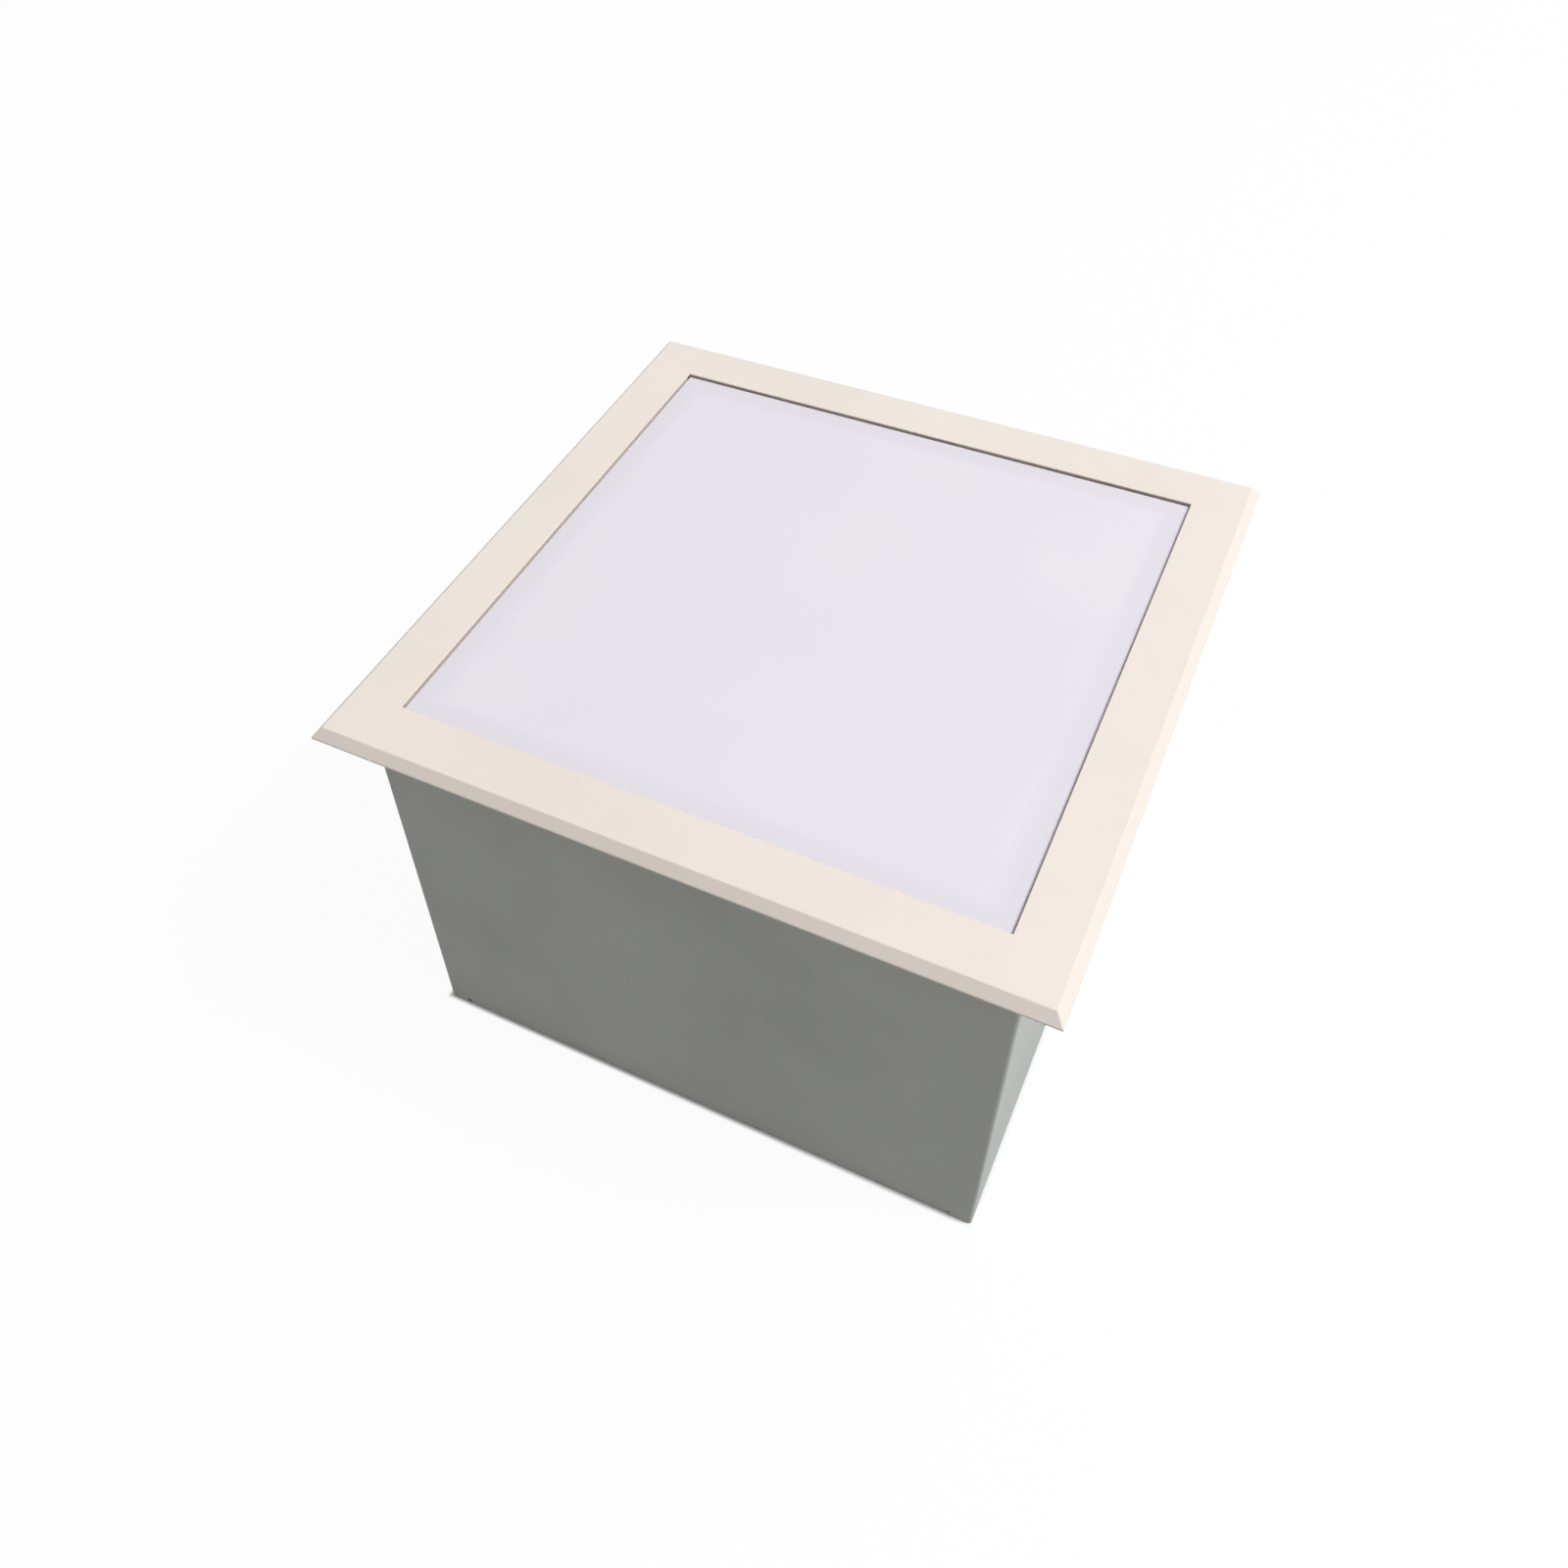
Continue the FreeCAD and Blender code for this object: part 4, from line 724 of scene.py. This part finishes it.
# %% Quadrant rivets
low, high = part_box("quadrant_rivets")
grip = high.x - low.x - RIVET_HEAD - RIVET_TAIL
head_y = (low.y + high.y) / 2
head_z = high.z - RIVET_HEAD_RADIUS
bm = rivet(Vector((low.x + RIVET_HEAD, head_y, head_z)), -X_AXIS, grip)
repeat(bm, [Matrix.Translation((0, 0, 2 * (pivot.z - head_z)))])
piece = finish_piece(bm, "quadrant_blind_rivets", rivet_metal)
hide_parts("quadrant_rivets")

# %% [markdown]
# Two nylon bushes carry the shaft in the collar's wall. They are moulded, so every
# outer corner has a small round and the bore has a lead-in. The left one is longer and
# reaches to the quadrant. One outline with named lengths makes both.

# %% Shaft bushes
BUSH_FLANGE_RADIUS = 11 * MM
BORE_RADIUS = 5.05 * MM
MOULD_ROUND = 0.5 * MM


def shaft_bush(name, node, sign):
    """A flanged bush, with its inner end at the collar's inner wall."""
    low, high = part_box(node)
    near, far = (low.x, high.x) if sign > 0 else (-high.x, -low.x)
    reach = far - near
    flange = spigot_radius - near
    r = MOULD_ROUND
    outline = [(0, BORE_RADIUS), (0, BUSH_RADIUS), (flange, BUSH_RADIUS),
               (flange, BUSH_FLANGE_RADIUS), (flange + BUSH_FLANGE - r, BUSH_FLANGE_RADIUS),
               (flange + BUSH_FLANGE, BUSH_FLANGE_RADIUS - r)]
    if reach > flange + 2 * BUSH_FLANGE:
        outline += [(flange + BUSH_FLANGE, BUSH_RADIUS), (reach - r, BUSH_RADIUS),
                    (reach, BUSH_RADIUS - r)]
    outline += [(reach, BORE_RADIUS + r), (reach - r, BORE_RADIUS), (0, BORE_RADIUS)]
    base = Vector((sign * near, pivot.y, pivot.z))
    piece = finish_piece(lathe(outline, base, X_AXIS * sign, 40), name, nylon)
    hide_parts(node)


shaft_bush("nylon_bush_left", "shaft_bush_left", -1)
shaft_bush("nylon_bush_right", "shaft_bush_right", 1)

# %% [markdown]
# The shaft is a turned rod with a thread at the lever's end. The flat that seats the
# blade is milled, so after turning, the rod's points above the blade's face are pressed
# down to it between two rings, which is what a milling cutter leaves.

# %% Damper shaft
SHAFT_RADIUS = 5 * MM
THREAD_CREST, THREAD_ROOT, THREAD_PITCH = 4 * MM, 3.4 * MM, 1.25 * MM
STEP = 0.05 * MM
FLAT_PLAY = 0.4 * MM
CHAMFER = 0.5 * MM

low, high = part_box("damper_shaft")
lever_low, lever_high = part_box("damper_lever")
lever_inner = lever_high.x
lever_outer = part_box("lever_nut")[1].x
blade_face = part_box("damper_blade")[0].y
flat_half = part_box("damper_blade")[1].x + FLAT_PLAY
outline = [(low.x, 0), (low.x, THREAD_ROOT - CHAMFER)]
outline += thread(low.x + CHAMFER, lever_outer, THREAD_CREST, THREAD_ROOT, THREAD_PITCH)
outline += [(lever_outer, THREAD_ROOT), (lever_inner, THREAD_ROOT), (lever_inner, SHAFT_RADIUS),
            (-flat_half - STEP, SHAFT_RADIUS), (-flat_half, SHAFT_RADIUS),
            (flat_half, SHAFT_RADIUS), (flat_half + STEP, SHAFT_RADIUS),
            (high.x - CHAMFER, SHAFT_RADIUS), (high.x, SHAFT_RADIUS - CHAMFER), (high.x, 0)]
bm = lathe(outline, Vector((0, pivot.y, pivot.z)), X_AXIS, 48)
for v in bm.verts:
    if abs(v.co.x) < flat_half + STEP / 2:
        v.co.y = min(v.co.y, blade_face)
bmesh.ops.remove_doubles(bm, verts=bm.verts, dist=MERGE)
piece = finish_piece(bm, "turned_shaft", zinc_plate, "damper")
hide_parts("damper_shaft")

# %% [markdown]
# Three pan head screws hold the blade on the flat. The head is a low dome with a cross
# recess. The tool for it grows from one small cube: its four sides are drawn out to the
# arms of a cross, and its lower end is drawn in. Two crossed bars would do too, but
# where two cuts end at the same depth a Boolean leaves slivers. A driver leaves each
# screw where it bites, so every cross stands at its own angle.

# %% Blade screws
SCREW_HEAD_RADIUS = 4.6 * MM
SCREW_RADIUS, SCREW_TIP = 2.5 * MM, 1.7 * MM
SCREW_HEAD = 2.6 * MM
CROSS_LONG, CROSS_WIDE, CROSS_DEEP = 5.0 * MM, 0.9 * MM, 1.7 * MM
CROSS_TAPER, CROSS_TURNS = 0.5, (20, 65, 38)

low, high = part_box("blade_screws")
seat_y = high.y - SCREW_HEAD
spacing = high.x - SCREW_HEAD_RADIUS
places = [Matrix.Translation((x, 0, 0)) for x in (-spacing, spacing)]
outline = [(low.y - seat_y, 0), (low.y - seat_y, SCREW_TIP),
           (low.y - seat_y + CHAMFER, SCREW_RADIUS), (0, SCREW_RADIUS), (0, SCREW_HEAD_RADIUS)]
outline += dome(SCREW_HEAD, SCREW_HEAD_RADIUS, 0.35, 0.3) + [(SCREW_HEAD, 0)]
bm = lathe(outline, Vector((0, seat_y, pivot.z)), Y_AXIS, 32)
repeat(bm, places)
screws = finish_piece(bm, "blade_pan_screws", zinc_plate, "damper")

tool = bmesh.new()
bmesh.ops.create_cube(tool, size=1.0)
bmesh.ops.scale(tool, vec=(CROSS_WIDE, 2 * CROSS_DEEP, CROSS_WIDE), verts=tool.verts)
sides = [f for f in tool.faces if abs(f.normal.y) < 0.5]
for arm in bmesh.ops.extrude_discrete_faces(tool, faces=sides)["faces"]:
    outward = arm.calc_center_median().normalized()
    bmesh.ops.translate(tool, vec=outward * (CROSS_LONG - CROSS_WIDE) / 2, verts=arm.verts)
for v in tool.verts:
    if v.co.y < 0:
        v.co.x *= CROSS_TAPER
        v.co.z *= CROSS_TAPER
bmesh.ops.recalc_face_normals(tool, faces=tool.faces)
moves = [Matrix.Translation((x, high.y, pivot.z)) @ Matrix.Rotation(math.radians(turn), 4, "Y")
         for x, turn in zip((0, -spacing, spacing), CROSS_TURNS)]
first_cross = tool.verts[:]
repeat(tool, moves[1:])
bmesh.ops.transform(tool, matrix=moves[0], verts=first_cross)
cut(screws, tool)
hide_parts("blade_screws")

# %% [markdown]
# A hexagon nut is turned first and gets its six flats afterwards, and that is why its
# flats end in curves: they cut through the cone of the chamfer. The same order works
# here. A round blank with coned ends comes from the lathe, a plane takes a slice off it
# six times, and each cut is filled with one face.

# %% Hexagon nut
CHAMFER_SLOPE = math.tan(math.radians(30))
CHAMFER_START = 0.95


def hexagon_nut(base, direction, across_flats, height, bore):
    """A nut with coned ends, standing on base along a direction."""
    flat = across_flats / 2
    corner = flat / math.cos(math.pi / 6)
    face = CHAMFER_START * flat
    fall = (corner - face) * CHAMFER_SLOPE
    outline = [(0, bore), (0, face), (fall, corner), (height - fall, corner), (height, face),
               (height, bore), (0, bore)]
    bm = lathe(outline, (0, 0, 0), Z_AXIS, 72)
    for i in range(6):
        outward = Vector((math.cos(i * math.pi / 3), math.sin(i * math.pi / 3), 0))
        sliced = bmesh.ops.bisect_plane(bm, geom=bm.verts[:] + bm.edges[:] + bm.faces[:],
                                        dist=0.1 * MERGE, plane_co=outward * flat,
                                        plane_no=outward, clear_outer=True)["geom_cut"]
        bmesh.ops.edgeloop_fill(bm, edges=[e for e in sliced if isinstance(e, bmesh.types.BMEdge)])
    turn = Z_AXIS.rotation_difference(Vector(direction)).to_matrix().to_4x4()
    bmesh.ops.transform(bm, matrix=Matrix.Translation(base) @ turn, verts=bm.verts)
    bmesh.ops.recalc_face_normals(bm, faces=bm.faces)
    return bm


low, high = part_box("lever_nut")
bm = hexagon_nut(Vector((high.x, pivot.y, pivot.z)), -X_AXIS, high.y - low.y, high.x - low.x,
                 THREAD_CREST)
print("nut: %.0f mm across flats" % ((high.y - low.y) / MM),
      "open edges", sum(not e.is_manifold for e in bm.edges))
piece = finish_piece(bm, "lever_hexagon_nut", zinc_plate, "damper")
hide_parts("lever_nut")

# %% [markdown]
# The lock bolt rides in the quadrant's slot. Its flat round head is behind the plate,
# its thread comes out through the lever, and a wing nut on it is what the fitter turns
# by hand. The bolt is turned in one go, with a chamfered tip.

# %% Lock bolt
LOCK_CREST, LOCK_ROOT, LOCK_PITCH = 3 * MM, 2.5 * MM, 1.0 * MM
LOCK_HEAD = 2.5 * MM

low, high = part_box("lock_bolt")
lock_z = (low.z + high.z) / 2
lock_base = Vector((high.x, pivot.y, lock_z))
head_radius = (high.z - low.z) / 2
length = high.x - low.x
outline = [(0, 0), (0, head_radius - CHAMFER), (CHAMFER, head_radius), (LOCK_HEAD, head_radius),
           (LOCK_HEAD, LOCK_ROOT)]
outline += thread(LOCK_HEAD, length - CHAMFER, LOCK_CREST, LOCK_ROOT, LOCK_PITCH)
outline += [(length, LOCK_ROOT - CHAMFER), (length, 0)]
piece = finish_piece(lathe(outline, lock_base, -X_AXIS, 32), "lock_bolt_turned",
                     zinc_plate, "damper")
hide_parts("lock_bolt")

# %% [markdown]
# A wing nut is a casting: a tapered hub with two wings that lean outwards and have
# rounded tips. Each wing starts as a thin cube between hub and tip. Its upper outer
# edge is drawn out, its edges along the thickness are bevelled wide for the round tip
# and all others bevelled fine, and the second wing is the first one turned round.

# %% Wing nut
WING_SHEET = 2.4 * MM
WING_ROOT = 3.6 * MM
WING_LIFT, WING_FLARE = 1 * MM, 1.5 * MM
WING_WIDE = 5.5 * MM
TIP_ROUND, CAST_ROUND = 2.4 * MM, 0.5 * MM
HUB_RADIUS = 5.5 * MM
HUB_HEIGHT = 5 * MM

low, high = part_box("lock_wing_nut")
wing_height = high.x - low.x
wing_span = high.y - low.y
hub_base = Vector((high.x, pivot.y, lock_z))
outline = [(0, LOCK_CREST), (0, HUB_RADIUS - CHAMFER), (CHAMFER, HUB_RADIUS),
           (HUB_HEIGHT - CHAMFER, HUB_RADIUS - CHAMFER), (HUB_HEIGHT, HUB_RADIUS - 2 * CHAMFER),
           (HUB_HEIGHT, LOCK_CREST), (0, LOCK_CREST)]
hub = lathe(outline, hub_base, -X_AXIS, 32)

wing = bmesh.new()
bmesh.ops.create_cube(wing, size=1.0)
for v in wing.verts:
    outer, tall = v.co.y > 0, v.co.x < 0
    v.co.z = lock_z + math.copysign(WING_SHEET / 2, v.co.z)
    v.co.x = high.x - (wing_height if tall else WING_LIFT)
    if outer:
        v.co.y = pivot.y + (wing_span / 2 if tall else HUB_RADIUS + WING_FLARE)
    else:
        v.co.y = pivot.y + (wing_span / 2 - WING_WIDE if tall else WING_ROOT)
tips = [e for e in wing.edges if all(v.co.x < high.x - wing_height / 2 for v in e.verts)
        and abs(e.verts[0].co.z - e.verts[1].co.z) > WING_SHEET / 2]
round_edges(wing, tips, TIP_ROUND, 5)
bmesh.ops.recalc_face_normals(wing, faces=wing.faces)
corners = [e for e in wing.edges if e.calc_face_angle() > CRISP]
round_edges(wing, corners, CAST_ROUND, 2)
half_turn = (Matrix.Translation(hub_base) @ Matrix.Rotation(math.pi, 4, "X")
             @ Matrix.Translation(-hub_base))
repeat(wing, [half_turn])
wing_mesh = bpy.data.meshes.new("wing")
wing.to_mesh(wing_mesh)
wing.free()
hub.from_mesh(wing_mesh)
piece = finish_piece(hub, "cast_wing_nut", zinc_plate, "damper")
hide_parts("lock_wing_nut")

# %% [markdown]
# Four closed nuts are pressed into the back plate for the hanging rods. From behind
# one sees a flush ring with a lead-in and a thread that runs into the dark. The thread
# is on the inside here, so its rings are part of the bore's outline.

# %% Hanger nuts
NUT_SHANK, NUT_BODY = 5.5 * MM, 7.5 * MM
NUT_MINOR, NUT_MAJOR = 3.4 * MM, 3.95 * MM
PLATE = 1.2 * MM

low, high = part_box("hanger_nuts")
nut_reach = high.x - NUT_BODY
depth = high.z - PLATE
bore = [(CHAMFER, NUT_MINOR)] + thread(CHAMFER, depth, NUT_MAJOR, NUT_MINOR, THREAD_PITCH)
outline = [(depth, 0)] + bore[::-1] + [(0, NUT_MAJOR), (0, NUT_SHANK), (PLATE, NUT_SHANK),
                                       (PLATE, NUT_BODY), (high.z - CHAMFER, NUT_BODY),
                                       (high.z, NUT_BODY - CHAMFER), (high.z, 0)]
bm = lathe(outline, Vector((nut_reach, nut_reach, 0)), Z_AXIS, 32)
repeat(bm, [Matrix.Rotation(math.pi / 2 * i, 4, "Z") for i in (1, 2, 3)])
piece = finish_piece(bm, "threaded_hanger_nuts", zinc_plate)
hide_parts("hanger_nuts")

# %% [markdown]
# The nuts sit in round holes of the back plate. The model gives such small holes few
# sides, which shows here, because the plate's face is flush with the nuts. So the plate
# is made again: one sheet with its edges just broken, and four drilled holes.

# %% Back plate
PLATE_EDGE = 0.2 * MM

low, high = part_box("back_plate")
bm = bmesh.new()
bmesh.ops.create_cube(bm, size=1.0)
bmesh.ops.scale(bm, vec=high - low, verts=bm.verts)
bmesh.ops.translate(bm, vec=(low + high) / 2, verts=bm.verts)
round_edges(bm, bm.edges[:], PLATE_EDGE, 2)
plate = finish_piece(bm, "drilled_back_plate", casing_paint)
drills = lathe([(-PLATE, 0), (-PLATE, NUT_SHANK), (2 * PLATE, NUT_SHANK), (2 * PLATE, 0)],
               Vector((nut_reach, nut_reach, 0)), Z_AXIS, 32)
repeat(drills, [Matrix.Rotation(math.pi / 2 * i, 4, "Z") for i in (1, 2, 3)])
cut(plate, drills)
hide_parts("back_plate")

# %% [markdown]
# The camera stands as it did for the photograph: in front, a little to the right, and
# looking down at about 46 degrees. Its place, turn and lens were found by fitting the
# eight corners of the face and the box. The photograph was cropped off its middle, so
# the lens has a small shift. A picture edge of 1600 pixels turns pixels to millimetres
# of lens.

# %% Camera
CAMERA_PLACE = Vector((0.3301, -0.8082, top_z + 0.8103))
AZIMUTH, ELEVATION, ROLL = (math.radians(a) for a in (27.94, 46.47, -2.38))
FOCAL_PIXELS, PICTURE = 1452.2, 1600
CENTRE_X, CENTRE_Y = 733.9, 703.5

look = Vector((-math.sin(AZIMUTH) * math.cos(ELEVATION), math.cos(AZIMUTH) * math.cos(ELEVATION),
               -math.sin(ELEVATION)))
right = Vector((math.cos(AZIMUTH), math.sin(AZIMUTH), 0))
above = right.cross(look)
right, above = (right * math.cos(ROLL) + above * math.sin(ROLL),
                -right * math.sin(ROLL) + above * math.cos(ROLL))
camera = bpy.data.objects.new("camera", bpy.data.cameras.new("camera"))
bpy.context.scene.collection.objects.link(camera)
camera.matrix_world = (Matrix.Translation(CAMERA_PLACE)
                       @ Matrix((right, above, -look)).transposed().to_4x4())
camera.data.sensor_width = 36.0
camera.data.lens = FOCAL_PIXELS / PICTURE * camera.data.sensor_width
camera.data.shift_x = (PICTURE / 2 - CENTRE_X) / PICTURE
camera.data.shift_y = (CENTRE_Y - PICTURE / 2) / PICTURE
bpy.context.scene.camera = camera
print("lens %.1f mm, shift %.3f %.3f"
      % (camera.data.lens, camera.data.shift_x, camera.data.shift_y))

# %% [markdown]
# The outlet stands on a plain pale floor in front of white. A floor lit as the object
# is would come out grey, and lighting it to white would burn out the frame. So the
# floor's shader is mixed with a white glow that only the camera and mirror-like rays
# see, by the Light Path node. Some of the lit floor stays in the mix, and with it the
# object's soft shadow. Close to the box the glow fades out, so the dark line of contact
# is seen at full strength and the box stands on the floor.

# %% Floor
FLOOR_HALF = 6.0
GLOW_SHARE = 0.94
CONTACT_START, CONTACT_END = 3 * MM, 8 * MM


def seen_directly(tree):
    """One where a ray from the camera, a gloss or a clear surface lands, else zero."""
    path = add_node(tree, "LightPath")
    first = add_node(tree, "Math", {"operation": "MAXIMUM"},
                     {0: path.outputs["Is Camera Ray"], 1: path.outputs["Is Glossy Ray"]})
    return add_node(tree, "Math", {"operation": "MAXIMUM"},
                    {0: first, 1: path.outputs["Is Transmission Ray"]})


bm = bmesh.new()
bmesh.ops.create_grid(bm, x_segments=1, y_segments=1, size=FLOOR_HALF)
mesh = bpy.data.meshes.new("floor")
bm.to_mesh(mesh)
bm.free()
floor = bpy.data.objects.new("floor", mesh)
bpy.context.scene.collection.objects.link(floor)
material, tree, shader, place = start_finish("plain_pale_floor", {
    "Roughness": 0.9, "Specular IOR Level": 0.1})
mesh.materials.append(material)
seen = seen_directly(tree)
pale = add_node(tree, "Mix", {"data_type": "RGBA", 6: linear("#A2A29E"), 7: linear("#FFFFFF")},
                {0: seen})
wire(tree, shader, pale.outputs[2])
glow = add_node(tree, "Emission", {"Color": (1, 1, 1, 1), "Strength": 1.0})
half_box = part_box("back_plate")[1].x
fade = add_node(tree, "MapRange", {"interpolation_type": "SMOOTHSTEP", "To Max": GLOW_SHARE,
                                   "From Min": half_box + CONTACT_START,
                                   "From Max": half_box + CONTACT_END},
                {"Value": plan_reach(tree, place)})
share = add_node(tree, "Math", {"operation": "MULTIPLY"}, {0: seen, 1: fade})
mixed = add_node(tree, "MixShader", {}, {0: share, 1: shader, 2: glow})
tree.links.new(mixed.outputs[0], tree.nodes["Material Output"].inputs["Surface"])
print("floor %.0f m wide" % (2 * FLOOR_HALF))

# %% [markdown]
# The light is that of a plain product picture: one broad lamp from the right and a
# little behind, which makes the top and the right side bright and leaves the front in
# shade, and an even sky that fills the rest. The sky lights the object at less than
# half strength but is plain white to look at, by the same Light Path trick. The levels
# are chosen so that a colour on the top face renders about as it is written.

# %% Light
KEY_PLACE, KEY_AIM = Vector((5.2, 0.9, 8.0)), Vector((0, 0, 0.25))
KEY_SIZE, KEY_POWER = 4.4, 680
SKY_LEVEL = 0.34

key = bpy.data.objects.new("key", bpy.data.lights.new("key", "AREA"))
key.data.shape = "DISK"
key.data.size = KEY_SIZE
key.data.energy = KEY_POWER
key.data.color = linear("#FBFCFF")[:3]
key.location = KEY_PLACE
key.rotation_euler = (KEY_AIM - KEY_PLACE).to_track_quat("-Z", "Y").to_euler()
bpy.context.scene.collection.objects.link(key)

world = bpy.data.worlds.new("soft_room")
bpy.context.scene.world = world
world.use_nodes = True
tree = world.node_tree
background = tree.nodes["Background"]
background.inputs["Color"].default_value = (1, 1, 1, 1)
level = add_node(tree, "MapRange", {"To Min": SKY_LEVEL, "To Max": 1.0},
                 {"Value": seen_directly(tree)})
tree.links.new(level.outputs[0], background.inputs["Strength"])
bpy.context.scene.view_settings.view_transform = "Standard"
print("key %.0f W, sky %.2f" % (KEY_POWER, SKY_LEVEL))
